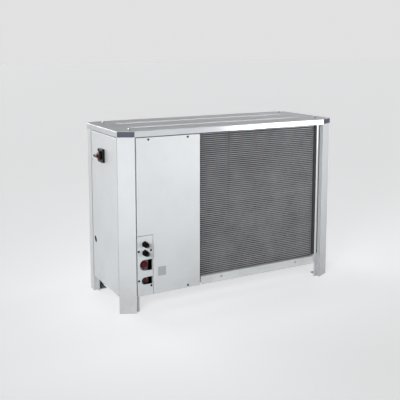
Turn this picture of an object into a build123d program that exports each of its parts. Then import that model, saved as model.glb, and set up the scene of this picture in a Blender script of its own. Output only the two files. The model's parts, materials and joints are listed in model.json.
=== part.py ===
from build123d import *
import os
from math import cos, pi

# Air-cooled refrigeration condensing unit, in millimetres.
# Origin: centre of the footprint, on the floor. +X runs along the long side, +Y to the rear
# (the fan side) and +Z up. The coil and the service panel face -Y, the isolator faces -X.

# ---------------------------------------------------------------- driving dimensions
COVER_LENGTH = 1204.0
COVER_DEPTH = 468.0
UNIT_HEIGHT = 850.0
LIP_HEIGHT = 27.0
COVER_SHEET = 1.5
COVER_GAP = 0.5
CHAMFER_X = 70.0
CHAMFER_Y = 35.0
POST_SHEET = 2.0
PANEL_SHEET = 1.2
REBATE = 20.0
FLANGE = 22.0
FRONT_LAND = 6.0
REAR_LAND = 46.0
PANEL_BOTTOM = 80.0
PANEL_TOP = 819.0
SEAM = 2.0
GROOVE = 7.0
SIDE_GROOVE = 5.0
PAN_FLOOR = 84.0
PAN_LIP = 36.0
PAN_CORNER = (14.0, 7.0)

BODY_X = COVER_LENGTH / 2 - COVER_SHEET - COVER_GAP
BODY_Y = COVER_DEPTH / 2 - COVER_SHEET - COVER_GAP
POST_TOP = UNIT_HEIGHT - COVER_SHEET
INNER_X = BODY_X - REBATE - POST_SHEET
INNER_Y = BODY_Y - REBATE - POST_SHEET
POST_INNER_X = BODY_X - CHAMFER_X
PANEL_EDGE_X = POST_INNER_X - GROOVE
PAN_TOP = PAN_FLOOR + POST_SHEET

# Foot fixings and cover bolts
FOOT_PLATE = 4.0
FOOT_HOLE = (555.0, 185.0)
FOOT_HOLE_RADIUS = 5.5
COVER_BOLT = (530.0, 164.0)
COVER_BOLT_RADIUS = 3.0
SCREW_HEAD = 5.4
SCREW_HEIGHT = 2.6

# Top cover ribs
RIB_WIDTH = 44.0
RIB_HEIGHT = 5.0
RIB_HALF_LENGTH = 488.0
RIB_Y = 88.0

# Service side
SERVICE_RIGHT = -198.0
PLATE_RIGHT = -446.0
PLATE_TOP = 364.0
PORT_X = -487.0
GLAND_HEIGHTS = (326.0, 285.0)
GLAND_BORE = 6.0
GLAND_THREAD = 9.8
SUCTION_Z = 226.0
SUCTION_SLOT = 26.0
SUCTION_TUBE = 11.0
LIQUID_Z = 151.0
LIQUID_SLOT = 17.5
LIQUID_TUBE = 6.0
VALVE_Y = -150.0

# Condenser coil
COIL_FRONT = -206.0
COIL_DEPTH = 22.0
COIL_LEFT = -200.0
COIL_RIGHT = 494.0
TUBE_PITCH = 9.8
TUBE_HEIGHT = 2.0
TUBE_COUNT = 75
FIRST_TUBE = 98.0
HEADER_WIDTH = 24.0
HEADER_END = 11.0
COIL_TOP = FIRST_TUBE + TUBE_PITCH * (TUBE_COUNT - 1)
COIL_MIDDLE_Y = COIL_FRONT + COIL_DEPTH / 2
COIL_Y = (COIL_FRONT, COIL_FRONT + COIL_DEPTH)
RAIL_RIGHT = 489.0

# Fan
FAN_X = 146.0
FAN_Z = 470.0
FAN_OPENING = 254.0
THROAT = 42.0
BELL = 16.0
FAN_RADIUS = 249.0
HUB_RADIUS = 75.0
HUB_FRONT = 162.0
HUB_REAR = 222.0
BLADES = 5
GUARD_RADIUS = 276.0
GUARD_RINGS = 8
GUARD_BOSS = 34.0
GUARD_WIRE = 3.6
SHAFT_RADIUS = 6.0
RUNNING_FIT = 0.05
MOTOR_FRONT = 30.0
MOTOR_REAR = 140.0
MOTOR_RADIUS = 62.0
UPRIGHT_OFFSET = 170.0

# Compressor compartment
BULKHEAD_X = -232.0
COMPRESSOR = (-454.0, 70.0)
COMPRESSOR_RADIUS = 80.0
RECEIVER = (-288.0, 110.0)
RECEIVER_RADIUS = 50.0
DRIER = (-268.0, -70.0)

# Rotary isolator
ISOLATOR_Y = -6.0
ISOLATOR_Z = 716.0
ISOLATOR_SIZE = 65.0
ISOLATOR_PLATE = 12.0
SPINDLE_RADIUS = 4.0

# Outward-facing work planes: local x runs to the right as seen from outside, local y is +Z.
FRONT = Plane(origin=(0, -BODY_Y, 0), x_dir=(1, 0, 0), z_dir=(0, -1, 0))
REAR = Plane(origin=(0, BODY_Y, 0), x_dir=(-1, 0, 0), z_dir=(0, 1, 0))
LEFT = Plane(origin=(-BODY_X, 0, 0), x_dir=(0, -1, 0), z_dir=(-1, 0, 0))
RIGHT = Plane(origin=(BODY_X, 0, 0), x_dir=(0, 1, 0), z_dir=(1, 0, 0))


# ---------------------------------------------------------------- shared shapes
def block(x, y, z):
    """Box between the low and high values given for each axis."""
    centre = Pos((x[0] + x[1]) / 2, (y[0] + y[1]) / 2, (z[0] + z[1]) / 2)
    return centre * Box(x[1] - x[0], y[1] - y[0], z[1] - z[0])


def rod(radius, start, end):
    """Round bar from one point to another."""
    axis = Vector(*end) - Vector(*start)
    return extrude(Plane(origin=start, z_dir=axis) * Circle(radius), amount=axis.length)


def hex_bar(across_flats, start, end):
    """Hexagonal bar from one point to another."""
    axis = Vector(*end) - Vector(*start)
    outline = RegularPolygon(radius=across_flats / 2, side_count=6, major_radius=False)
    return extrude(Plane(origin=start, z_dir=axis) * outline, amount=axis.length)


def pipe(radius, bend, *points):
    """Tube along straight runs joined by bends of one radius, in eight flats."""
    path = FilletPolyline(*points, radius=bend)
    section = RegularPolygon(radius, 8, rotation=22.5)
    return sweep(Plane(origin=path @ 0, z_dir=path % 0) * section, path=path)


def pan(plane, outline, depth=REBATE - 1.0, sheet=PANEL_SHEET):
    """Folded panel: a face with an edge turned inwards all round."""
    face = make_face(Polyline(*outline, close=True))
    inside = offset(face, amount=-sheet, kind=Kind.INTERSECTION)
    return extrude(plane * face, amount=-depth) - extrude(plane.offset(-sheet) * inside, amount=-depth)


def rectangle(low_x, high_x, low_z, high_z):
    """Corner points of an upright rectangle on a work plane."""
    return [(low_x, low_z), (high_x, low_z), (high_x, high_z), (low_x, high_z)]


def octagon(half_x, half_y, cut_x, cut_y):
    """Footprint outline with its four corners cut off."""
    right = [(half_x, -half_y + cut_y), (half_x, half_y - cut_y)]
    rear = [(half_x - cut_x, half_y), (-half_x + cut_x, half_y)]
    left = [(-half_x, half_y - cut_y), (-half_x, -half_y + cut_y)]
    front = [(-half_x + cut_x, -half_y), (half_x - cut_x, -half_y)]
    return make_face(Polyline(*right, *rear, *left, *front, close=True))


def at_corners(shape):
    """The shape of the +X +Y corner and its mirror images at the other three."""
    rear = [shape, mirror(shape, about=Plane.YZ)]
    return rear + [mirror(item, about=Plane.XZ) for item in rear]


def screws(plane, places):
    """Heads of the self-tapping screws that stand on a work plane."""
    head = extrude(RegularPolygon(SCREW_HEAD, 8), amount=SCREW_HEIGHT)
    return [plane * Pos(*place) * head for place in places]


# ---------------------------------------------------------------- frame and casing
def corner_post(land):
    """Folded corner post of the +X +Y corner, from the floor to the cover."""
    line = Polyline(
        (POST_INNER_X - FLANGE, BODY_Y - REBATE),
        (POST_INNER_X, BODY_Y - REBATE),
        (POST_INNER_X, BODY_Y),
        (BODY_X, BODY_Y - CHAMFER_Y),
        (BODY_X, BODY_Y - CHAMFER_Y - land),
        (BODY_X - REBATE, BODY_Y - CHAMFER_Y - land),
        (BODY_X - REBATE, BODY_Y - CHAMFER_Y - land - FLANGE),
    )
    section = make_face(offset(line, amount=POST_SHEET, side=Side.RIGHT, kind=Kind.INTERSECTION))
    return extrude(section, amount=POST_TOP)


def foot_plates():
    """Plates welded inside the post ends, each with one floor fixing hole."""
    inside = extrude(octagon(BODY_X - 2.4, BODY_Y - 2.4, CHAMFER_X, CHAMFER_Y), amount=FOOT_PLATE)
    plate = inside & block((POST_INNER_X + POST_SHEET, INNER_X), (152, BODY_Y), (0, FOOT_PLATE))
    plate -= Pos(*FOOT_HOLE, 0) * Cylinder(FOOT_HOLE_RADIUS, 20)
    return at_corners(plate)


def top_gussets():
    """Corner plates inside the post tops that carry the cover bolts."""
    inside = extrude(Pos(0, 0, POST_TOP) * octagon(INNER_X, INNER_Y, *PAN_CORNER), amount=-3)
    plate = inside & block((POST_INNER_X - FLANGE, INNER_X), (140, INNER_Y), (0, POST_TOP))
    plate -= Pos(*COVER_BOLT, POST_TOP) * Cylinder(COVER_BOLT_RADIUS + 0.2, 20)
    return at_corners(plate)


def cover_rib(top, shrink):
    """Tapered rib pressed up from the cover."""
    length = 2 * (RIB_HALF_LENGTH - shrink)
    width = RIB_WIDTH - 2 * shrink
    return extrude(Pos(0, 0, POST_TOP - 0.01) * Rectangle(length, width), amount=top, taper=40)


CUT_CORNER = [(COVER_LENGTH / 2 - CHAMFER_X, COVER_LENGTH), (COVER_DEPTH / 2 - CHAMFER_Y, COVER_DEPTH)]


def top_cover():
    """Pressed cover with two ribs, and lips on its four straight sides."""
    outer = octagon(COVER_LENGTH / 2, COVER_DEPTH / 2, CHAMFER_X, CHAMFER_Y)
    inner = octagon(BODY_X + COVER_GAP, BODY_Y + COVER_GAP, CHAMFER_X, CHAMFER_Y)
    cover = extrude(Pos(0, 0, UNIT_HEIGHT) * outer, amount=-LIP_HEIGHT)
    cover -= extrude(Pos(0, 0, POST_TOP) * inner, amount=-LIP_HEIGHT)
    cover -= at_corners(block(*CUT_CORNER, (0, POST_TOP)))
    for side in (-1, 1):
        cover += Pos(0, side * RIB_Y, 0) * cover_rib(COVER_SHEET + RIB_HEIGHT, 0)
        cover -= Pos(0, side * RIB_Y, 0) * cover_rib(RIB_HEIGHT, COVER_SHEET)
    bolt_hole = Pos(*COVER_BOLT, UNIT_HEIGHT) * Cylinder(COVER_BOLT_RADIUS + 0.2, 20)
    return cover - at_corners(bolt_hole)


def corner_caps():
    """Plastic caps that close the cover's cut corners between its lips."""
    outer = octagon(COVER_LENGTH / 2, COVER_DEPTH / 2, CHAMFER_X, CHAMFER_Y)
    inner = octagon(BODY_X + 0.1, BODY_Y + 0.1, CHAMFER_X, CHAMFER_Y)
    ring = extrude(Pos(0, 0, POST_TOP) * (outer - inner), amount=-LIP_HEIGHT + COVER_SHEET)
    return at_corners(ring & block(*CUT_CORNER, (0, UNIT_HEIGHT)))


def cover_bolts():
    """Hexagon bolts with washers that hold the cover to the gussets."""
    x, y = COVER_BOLT
    bolt = hex_bar(16, (x, y, UNIT_HEIGHT), (x, y, UNIT_HEIGHT + 1.5))
    bolt += hex_bar(10, (x, y, UNIT_HEIGHT + 1.5), (x, y, UNIT_HEIGHT + 6))
    bolt += hex_bar(5, (x, y, POST_TOP - 14), (x, y, UNIT_HEIGHT + 1))
    return at_corners(bolt)


SERVICE_SCREWS = [(-464, 809), (-263, 809), (-264, 93)]
PLATE_SCREWS = [(-518, 294), (-456, 294), (-518, 154), (-456, 125)]
RAIL_SCREWS = [(-79, 107), (368, 107)]
LAP_SCREW = (499, 107)
SIDE_SCREW = (-139.0, 676.0)
CABLE_SLOT = (-108.0, 281.0)
CABLE_SLOT_SIZE = (14.0, 30.0)
CABLE_SLOT_TILT = 38.0
FAN_PANEL_SCREWS = [(x, z) for x in (-498.0, 222.0) for z in (100.0, 460.0, 800.0)]
REAR_PANEL_SCREWS = [(x, z) for x in (244.0, 506.0) for z in (100.0, 800.0)]
GUARD_EYE = (GUARD_RADIUS + 9) * cos(pi / 4)
GUARD_SCREWS = [(-FAN_X + sx * GUARD_EYE, FAN_Z + sz * GUARD_EYE) for sx in (-1, 1) for sz in (-1, 1)]


def service_panel():
    """Front left panel, cut back at its lower corner for the connection plate."""
    left = -PANEL_EDGE_X
    outline = [
        (left, PLATE_TOP + SEAM),
        (PLATE_RIGHT + SEAM, PLATE_TOP + SEAM),
        (PLATE_RIGHT + SEAM, PANEL_BOTTOM),
        (SERVICE_RIGHT, PANEL_BOTTOM),
        (SERVICE_RIGHT, PANEL_TOP),
        (left, PANEL_TOP),
    ]
    return pan(FRONT, outline)


def connection_plate():
    """Plate for the cable glands and the two pipe connections, slotted towards the panel."""
    plate = pan(FRONT, rectangle(-PANEL_EDGE_X, PLATE_RIGHT, PANEL_BOTTOM, PLATE_TOP))
    open_side = (PLATE_RIGHT - PANEL_SHEET, PLATE_RIGHT + 1)
    plate -= block(open_side, (-BODY_Y + PANEL_SHEET, 0), (0, PLATE_TOP + 1))
    plate -= [FRONT * Pos(PORT_X, z) * Cylinder(GLAND_THREAD + 0.2, 14) for z in GLAND_HEIGHTS]
    length = PLATE_RIGHT - PORT_X + 10
    for height, radius in ((SUCTION_Z, SUCTION_SLOT), (LIQUID_Z, LIQUID_SLOT)):
        plate -= FRONT * Pos(PORT_X, height) * Cylinder(radius, 14)
        plate -= FRONT * Pos(PORT_X + length / 2, height) * Box(length, 2 * radius, 14)
    return plate


def side_panel(plane, front_sign):
    """Side panel between the front and rear posts."""
    front_edge = BODY_Y - CHAMFER_Y - FRONT_LAND - SIDE_GROOVE
    rear_edge = BODY_Y - CHAMFER_Y - REAR_LAND - SIDE_GROOVE
    edges = sorted((front_sign * front_edge, -front_sign * rear_edge))
    return pan(plane, rectangle(*edges, PANEL_BOTTOM, PANEL_TOP))


def left_side_panel():
    """Left panel with the isolator's shaft hole and a slanted cable slot."""
    panel = side_panel(LEFT, 1)
    panel -= LEFT * Pos(-ISOLATOR_Y, ISOLATOR_Z) * Cylinder(9, 14)
    slot = extrude(RectangleRounded(*CABLE_SLOT_SIZE, CABLE_SLOT_SIZE[0] * 0.49), amount=7, both=True)
    return panel - LEFT * Pos(*CABLE_SLOT) * Rot(0, 0, CABLE_SLOT_TILT) * slot


def right_side_panel():
    """Plain right panel."""
    return side_panel(RIGHT, -1)


def front_rail():
    """Rail below the coil, folded back at its top and hemmed at its bottom."""
    left, right = SERVICE_RIGHT + 4, RAIL_RIGHT
    front, top, bottom, sheet = -BODY_Y, 122, 82, 1.5
    hem, lap, back = bottom + 11, 20, front + REBATE - 0.5
    rail = block((left, right), (front, front + sheet), (bottom + 4, top))
    rail += block((left, right), (front, -INNER_Y), (top - sheet, top))
    rail += block((left, right), (front - 1.2, front + sheet), (bottom, hem))
    rail += block((right - sheet, right), (front, back), (hem - 1, top))
    rail += block((right, right + lap), (back - sheet, back), (hem - 1, top))
    corner_plane = Plane.XZ.offset(BODY_Y - 25)
    corner = extrude(corner_plane * Pos(left, bottom) * Rectangle(16, 16), amount=30)
    corner -= extrude(corner_plane * Pos(left + 8, bottom + 8) * Circle(8), amount=30)
    return rail - corner


def base_pan():
    """Tray between the posts that carries everything inside, lips turned up."""
    outline = octagon(INNER_X, INNER_Y, *PAN_CORNER)
    pan_floor = extrude(Pos(0, 0, PAN_FLOOR) * outline, amount=PAN_LIP)
    inner = octagon(INNER_X - POST_SHEET, INNER_Y - POST_SHEET, *PAN_CORNER)
    inside = extrude(Pos(0, 0, PAN_TOP) * inner, amount=PAN_LIP)
    drain = Pos(FAN_X, 0, PAN_FLOOR) * Cylinder(12, 20)
    return pan_floor - inside - drain


def rear_service_panel():
    """Rear panel behind the compressor compartment."""
    outline = rectangle(-BULKHEAD_X + SEAM / 2, PANEL_EDGE_X, PANEL_BOTTOM, PANEL_TOP)
    return pan(REAR, outline)


def fan_panel():
    """Rear panel with the round fan opening."""
    panel = pan(REAR, rectangle(-PANEL_EDGE_X, -BULKHEAD_X - SEAM / 2, PANEL_BOTTOM, PANEL_TOP))
    return panel - REAR * Pos(-FAN_X, FAN_Z) * Cylinder(FAN_OPENING + 2, 14)


def fan_bellmouth():
    """Inlet ring of the fan, flanged to the inside of its panel and flared at its inner end."""
    seat = BODY_Y - PANEL_SHEET
    end = BODY_Y - THROAT
    mouth = Polyline(
        (FAN_OPENING, seat),
        (FAN_OPENING, end),
        (FAN_OPENING + BELL, end - BELL),
        (FAN_OPENING + BELL + PANEL_SHEET, end - BELL),
        (FAN_OPENING + PANEL_SHEET, end),
        (FAN_OPENING + PANEL_SHEET, seat - PANEL_SHEET),
        (FAN_OPENING + BELL, seat - PANEL_SHEET),
        (FAN_OPENING + BELL, seat),
        close=True,
    )
    return Pos(FAN_X, 0, FAN_Z) * revolve(make_face(mouth), axis=Axis.Y)


def fan_guard():
    """Wire guard: rings welded to six spokes, with four fixing eyes."""
    wire = GUARD_WIRE
    spoke_plane = REAR.offset(1 + wire)
    ring_plane = REAR.offset(0.6 + 2 * wire)
    hub = extrude(spoke_plane * RegularPolygon(GUARD_BOSS, 24), amount=-wire)
    spoke = spoke_plane * Pos(GUARD_RADIUS / 2 + 8, 0, -wire / 2) * Box(GUARD_RADIUS - 16, wire, wire)
    eye = spoke_plane * Pos(GUARD_RADIUS + 7, 0, -(wire + 1) / 2) * Box(20, 18, wire + 1)
    guard = hub
    for index in range(6):
        guard += Rot(0, 60 * index, 0) * spoke
    for index in range(4):
        guard += Rot(0, 45 + 90 * index, 0) * eye
    pitch = (GUARD_RADIUS - GUARD_BOSS) / GUARD_RINGS
    for index in range(1, GUARD_RINGS + 1):
        radius = GUARD_BOSS + pitch * index
        ring = RegularPolygon(radius, 24) - RegularPolygon(radius - wire, 24)
        guard += extrude(ring_plane * ring, amount=-wire)
    return Pos(FAN_X, 0, FAN_Z) * guard


def bulkhead():
    """Partition between the compressor and the fan compartments."""
    wall = block((BULKHEAD_X, BULKHEAD_X + PANEL_SHEET), (-INNER_Y + 2, INNER_Y - 2), (PAN_TOP, POST_TOP - 2))
    for edge in (-INNER_Y + 2, INNER_Y - 2 - PANEL_SHEET):
        wall += block((BULKHEAD_X - 14, BULKHEAD_X), (edge, edge + PANEL_SHEET), (PAN_TOP, POST_TOP - 2))
    for height in (700.0, 140.0):
        wall -= rod(10, (BULKHEAD_X - 5, COIL_MIDDLE_Y, height), (BULKHEAD_X + 5, COIL_MIDDLE_Y, height))
    return wall


# ---------------------------------------------------------------- condenser and fan
def condenser_coil():
    """Flat tubes brazed into an upright header at each end."""
    coil = []
    for index in range(TUBE_COUNT):
        height = FIRST_TUBE + TUBE_PITCH * index
        edges = (height - TUBE_HEIGHT / 2, height + TUBE_HEIGHT / 2)
        coil.append(block((COIL_LEFT - 1, COIL_RIGHT + 1), COIL_Y, edges))
    low, high = FIRST_TUBE - HEADER_END, COIL_TOP + HEADER_END
    headers = []
    for edge, sign in ((COIL_LEFT, -1), (COIL_RIGHT, 1)):
        outline = Pos(edge + sign * 8, COIL_MIDDLE_Y) * Rectangle(16, HEADER_WIDTH)
        outline += Pos(edge + sign * 14, COIL_MIDDLE_Y) * Circle(HEADER_WIDTH / 2)
        cut = 2 * HEADER_WIDTH
        outline -= Pos(edge - sign * HEADER_WIDTH, COIL_MIDDLE_Y) * Rectangle(cut, cut)
        headers.append(extrude(Pos(0, 0, low) * outline, amount=high - low))
    return headers[0].fuse(headers[1], *coil)


def condenser_fins():
    """Fin packs between neighbouring tubes, one solid for each gap."""
    packs = []
    for index in range(TUBE_COUNT - 1):
        low = FIRST_TUBE + TUBE_PITCH * index + TUBE_HEIGHT / 2
        depth = (COIL_FRONT + 0.5, COIL_FRONT + COIL_DEPTH - 0.5)
        packs.append(block((COIL_LEFT + 3, COIL_RIGHT - 5), depth, (low, low + TUBE_PITCH - TUBE_HEIGHT)))
    return packs


def coil_seals():
    """Foam strips that close the gaps at the coil's ends and hold it off the sheet metal."""
    seat = COIL_FRONT - 1.2
    right = block((RAIL_RIGHT, COIL_RIGHT + 24), (-INNER_Y, seat), (124, PANEL_TOP))
    left = block((COIL_LEFT - 20, COIL_LEFT - 2), (-BODY_Y + REBATE, seat), (124, PANEL_TOP))
    upper = block((COIL_LEFT - 20, COIL_RIGHT + 12), COIL_Y, (COIL_TOP + HEADER_END, POST_TOP - 1))
    lower = block((COIL_LEFT - 20, COIL_RIGHT + 20), COIL_Y, (PAN_TOP, FIRST_TUBE - HEADER_END))
    return [right, upper, left, lower]


def fan_support():
    """Two uprights, a top rail to the bulkhead and two arms that carry the fan motor."""
    frame = None
    for side in (-1, 1):
        x = FAN_X + side * UPRIGHT_OFFSET
        upright = block((x - 15, x + 15), (0, 20), (PAN_TOP, 800))
        upright -= block((x - 13, x + 13), (-1, 18), (0, 770))
        frame = upright if frame is None else frame + upright
    right_end = FAN_X + UPRIGHT_OFFSET + 15
    frame += block((BULKHEAD_X + PANEL_SHEET, right_end), (0, 20), (775, 800))
    frame -= block((BULKHEAD_X, right_end - 2), (-1, 18), (777, 798))
    for height in (FAN_Z - 40, FAN_Z + 40):
        frame += block((FAN_X - UPRIGHT_OFFSET - 15, right_end), (20, 30), (height - 10, height + 10))
    return frame


def fan_motor():
    """Fan motor with a terminal boss and a bore for its shaft."""
    motor = rod(MOTOR_RADIUS, (FAN_X, MOTOR_FRONT, FAN_Z), (FAN_X, MOTOR_REAR - 12, FAN_Z))
    motor += rod(MOTOR_RADIUS - 18, (FAN_X, MOTOR_REAR - 12, FAN_Z), (FAN_X, MOTOR_REAR, FAN_Z))
    motor += block((FAN_X - 24, FAN_X + 24), (45, 105), (FAN_Z + 40, FAN_Z + 84))
    bore = SHAFT_RADIUS + RUNNING_FIT
    return motor - rod(bore, (FAN_X, MOTOR_FRONT - 1, FAN_Z), (FAN_X, MOTOR_REAR + 1, FAN_Z))


def fan_shaft():
    """Motor shaft that the impeller is clamped on."""
    return rod(SHAFT_RADIUS, (FAN_X, MOTOR_FRONT + 2, FAN_Z), (FAN_X, HUB_REAR + 2, FAN_Z))


def blade_section(radius, chord, angle, camber, thickness):
    """Cambered blade section in flats, set at its pitch angle at one radius."""
    half, third = chord / 2, chord / 6
    top, bottom = camber + thickness / 2, camber - thickness / 2
    outline = [(-half, 0), (-third, top), (third, top), (half, 0), (third, bottom), (-third, bottom)]
    plane = Plane(origin=(radius, (HUB_FRONT + HUB_REAR) / 2, 0), x_dir=(0, 0, 1), z_dir=(1, 0, 0))
    return plane * Rot(0, 0, angle) * make_face(Polyline(*outline, close=True))


def fan_impeller():
    """Axial impeller: moulded hub and five twisted blades."""
    root = blade_section(HUB_RADIUS - 8, 96, 34, 9, 6.0)
    middle = blade_section(150, 122, 26, 9, 4.5)
    tip = blade_section(FAN_RADIUS + 6, 148, 19, 9, 3.0)
    envelope = rod(FAN_RADIUS, (0, HUB_FRONT - 20, 0), (0, HUB_REAR + 3, 0))
    envelope -= rod(HUB_RADIUS - 4, (0, HUB_FRONT - 21, 0), (0, HUB_REAR + 4, 0))
    blade = loft([root, middle, tip], ruled=True) & envelope
    hub = rod(HUB_RADIUS, (0, HUB_FRONT, 0), (0, HUB_REAR, 0))
    hub -= rod(HUB_RADIUS - 5, (0, HUB_FRONT - 1, 0), (0, HUB_REAR - 6, 0))
    hub += rod(16, (0, HUB_FRONT, 0), (0, HUB_REAR, 0))
    hub -= rod(SHAFT_RADIUS, (0, HUB_FRONT - 1, 0), (0, HUB_REAR + 1, 0))
    for index in range(BLADES):
        hub += Rot(0, 360 / BLADES * index, 0) * blade
    return Pos(FAN_X, 0, FAN_Z) * hub


# ---------------------------------------------------------------- compressor compartment
FEET = [(COMPRESSOR[0] + sx * 95, COMPRESSOR[1] + sy * 95) for sx in (-1, 1) for sy in (-1, 1)]


def compressor():
    """Hermetic shell with domed ends and its mounting plate."""
    x, y = COMPRESSOR
    shell = rod(COMPRESSOR_RADIUS, (x, y, 108), (x, y, 470))
    shell = chamfer(shell.edges().filter_by(GeomType.CIRCLE), 22, 44)
    plate = block((x - 110, x + 110), (y - 110, y + 110), (104, 108))
    plate -= block((x - 72, x + 72), (y - 140, y - 86), (100, 110))
    plate -= block((x - 72, x + 72), (y + 86, y + 140), (100, 110))
    plate -= [hex_bar(10, (fx, fy, 100), (fx, fy, 112)) for fx, fy in FEET]
    return shell + plate


def compressor_grommets():
    """Rubber mounts between the pan and the compressor plate."""
    mounts = []
    for x, y in FEET:
        mount = hex_bar(27, (x, y, PAN_TOP), (x, y, 104)) - hex_bar(8.4, (x, y, 80), (x, y, 110))
        mounts.append(mount)
    return mounts


def compressor_bolts():
    """Bolts with washers through the rubber mounts."""
    bolts = []
    for x, y in FEET:
        bolt = hex_bar(8, (x, y, PAN_TOP), (x, y, 116))
        bolt += hex_bar(18, (x, y, 108), (x, y, 116))
        bolts.append(bolt)
    return bolts


def terminal_box():
    """Compressor terminal cover on the front of the shell."""
    x, y = COMPRESSOR
    box = block((x - 34, x + 34), (y - COMPRESSOR_RADIUS - 34, y - 60), (190, 262))
    return box - rod(COMPRESSOR_RADIUS + 0.05, (x, y, 100), (x, y, 300))


def suction_valve():
    """Shut-off valve on the suction connection, with its stub tube."""
    body = rod(15, (PORT_X, VALVE_Y, SUCTION_Z - 20), (PORT_X, VALVE_Y, SUCTION_Z + 22))
    body += rod(SUCTION_TUBE, (PORT_X, VALVE_Y, SUCTION_Z), (PORT_X, -206, SUCTION_Z))
    return body + hex_bar(22, (PORT_X, VALVE_Y, SUCTION_Z), (PORT_X + 34, VALVE_Y, SUCTION_Z))


def liquid_valve():
    """Shut-off valve on the liquid connection, with its stub tube."""
    body = rod(11, (PORT_X, VALVE_Y, LIQUID_Z - 14), (PORT_X, VALVE_Y, LIQUID_Z + 14))
    body += rod(LIQUID_TUBE, (PORT_X, VALVE_Y, LIQUID_Z), (PORT_X, -206, LIQUID_Z))
    return body + hex_bar(17, (PORT_X, VALVE_Y, LIQUID_Z - 32), (PORT_X, VALVE_Y, LIQUID_Z - 14))


def valve_bracket():
    """Angle bracket that holds both valves by their stub tubes."""
    plate = block((-525, -450), (-184, -182), (PAN_TOP, 262))
    plate += block((-525, -450), (-184, -150), (PAN_TOP, PAN_TOP + 2))
    plate -= rod(SUCTION_TUBE + 0.2, (PORT_X, -190, SUCTION_Z), (PORT_X, -170, SUCTION_Z))
    return plate - rod(LIQUID_TUBE + 0.2, (PORT_X, -190, LIQUID_Z), (PORT_X, -170, LIQUID_Z))


def pipe_caps():
    """Flanged transit caps on the two stub tubes."""
    caps = []
    for height, tube, flange in ((SUCTION_Z, SUCTION_TUBE, 18.0), (LIQUID_Z, LIQUID_TUBE, 12.5)):
        cap = rod(tube + 3, (PORT_X, -192, height), (PORT_X, -225, height))
        cap += rod(flange, (PORT_X, -214, height), (PORT_X, -218, height))
        caps.append(cap - rod(tube, (PORT_X, -190, height), (PORT_X, -206, height)))
    return caps


def suction_pipe():
    """Pipe from the suction valve to the compressor."""
    x, y = COMPRESSOR
    start = (PORT_X, VALVE_Y, SUCTION_Z + 22)
    end = (x, y - COMPRESSOR_RADIUS, 370)
    return pipe(SUCTION_TUBE, 26, start, (PORT_X, VALVE_Y, 300), (x, VALVE_Y + 20, 370), end)


def discharge_pipe():
    """Pipe from the compressor's top to the condenser's left header."""
    x, y = COMPRESSOR
    header = COIL_LEFT - 26
    return pipe(8, 24, (x + 20, y, 470), (x + 20, y, 520), (-262, y, 520), (-262, y, 700),
                (-262, COIL_MIDDLE_Y, 700), (header, COIL_MIDDLE_Y, 700))


def condenser_outlet_pipe():
    """Pipe from the condenser's lower end to the receiver."""
    header = COIL_LEFT - 26
    x, y = RECEIVER[0] - 22, RECEIVER[1]
    return pipe(6, 20, (header, COIL_MIDDLE_Y, 140), (x, COIL_MIDDLE_Y, 140), (x, COIL_MIDDLE_Y, 430),
                (x, y, 430), (x, y, 358))


def liquid_receiver():
    """Upright liquid receiver on a ring foot."""
    x, y = RECEIVER
    shell = rod(RECEIVER_RADIUS, (x, y, 100), (x, y, 358))
    shell = chamfer(shell.edges().filter_by(GeomType.CIRCLE), 12, 24)
    foot = rod(RECEIVER_RADIUS - 8, (x, y, PAN_TOP), (x, y, 118))
    return shell + foot - rod(RECEIVER_RADIUS - 11, (x, y, 80), (x, y, 99))


def liquid_pipes():
    """Liquid line: receiver to drier, drier to sight glass, sight glass to valve."""
    x, y = DRIER
    top = pipe(5, 18, (x, RECEIVER[1], 358), (x, RECEIVER[1], 400), (x, y, 400), (x, y, 310))
    lower = pipe(5, 18, (x, y, 200), (x, y, LIQUID_Z), (x, VALVE_Y, LIQUID_Z), (-362, VALVE_Y, LIQUID_Z))
    last = rod(5, (-398, VALVE_Y, LIQUID_Z), (PORT_X + 11, VALVE_Y, LIQUID_Z))
    return [top, lower, last]


def filter_drier():
    """Filter drier, a turned shell with tapered ends."""
    x, y = DRIER
    lower = [(0, 200), (8, 200), (8, 208), (25, 222)]
    upper = [(25, 288), (8, 302), (8, 310), (0, 310)]
    outline = Polyline(*lower, *upper, close=True)
    return Pos(x, y, 0) * revolve(make_face(Plane.XZ * outline), axis=Axis.Z)


def sight_glass():
    """Sight glass in the liquid line, its window facing the service panel."""
    body = hex_bar(20, (-362, VALVE_Y, LIQUID_Z), (-398, VALVE_Y, LIQUID_Z))
    window = rod(13, (-380, VALVE_Y, LIQUID_Z), (-380, VALVE_Y - 18, LIQUID_Z))
    return body + window


BOX_X = (-515.0, -280.0)
BOX_Y = (-190.0, 30.0)
BOX_Z = (560.0, 800.0)
BOX_BACK = BOX_Y[1] - PANEL_SHEET


def electrical_box():
    """Open-fronted sheet box with tabs to the bulkhead."""
    sheet = PANEL_SHEET
    box = block(BOX_X, BOX_Y, BOX_Z)
    inner_x = (BOX_X[0] + sheet, BOX_X[1] - sheet)
    box -= block(inner_x, (BOX_Y[0] - 1, BOX_BACK), (BOX_Z[0] + sheet, BOX_Z[1] - sheet))
    for low in (BOX_Z[0], BOX_Z[1] - sheet):
        box += block((BOX_X[1], BULKHEAD_X), (BOX_Y[0], -100), (low, low + sheet))
    return box


def electrical_lid():
    """Lid on the front of the electrical box."""
    front = BOX_Y[0]
    outer, inner = 2.0, 2.0 - PANEL_SHEET
    (left, right), (low, high) = BOX_X, BOX_Z
    lid = block((left - outer, right + outer), (front - 10, front), (low - outer, high + outer))
    depth = (front - 10 + PANEL_SHEET, front + 1)
    return lid - block((left - inner, right + inner), depth, (low - inner, high + inner))


CONTACTOR_X = -450.0
CONTACTOR_Z = 690.0


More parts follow.
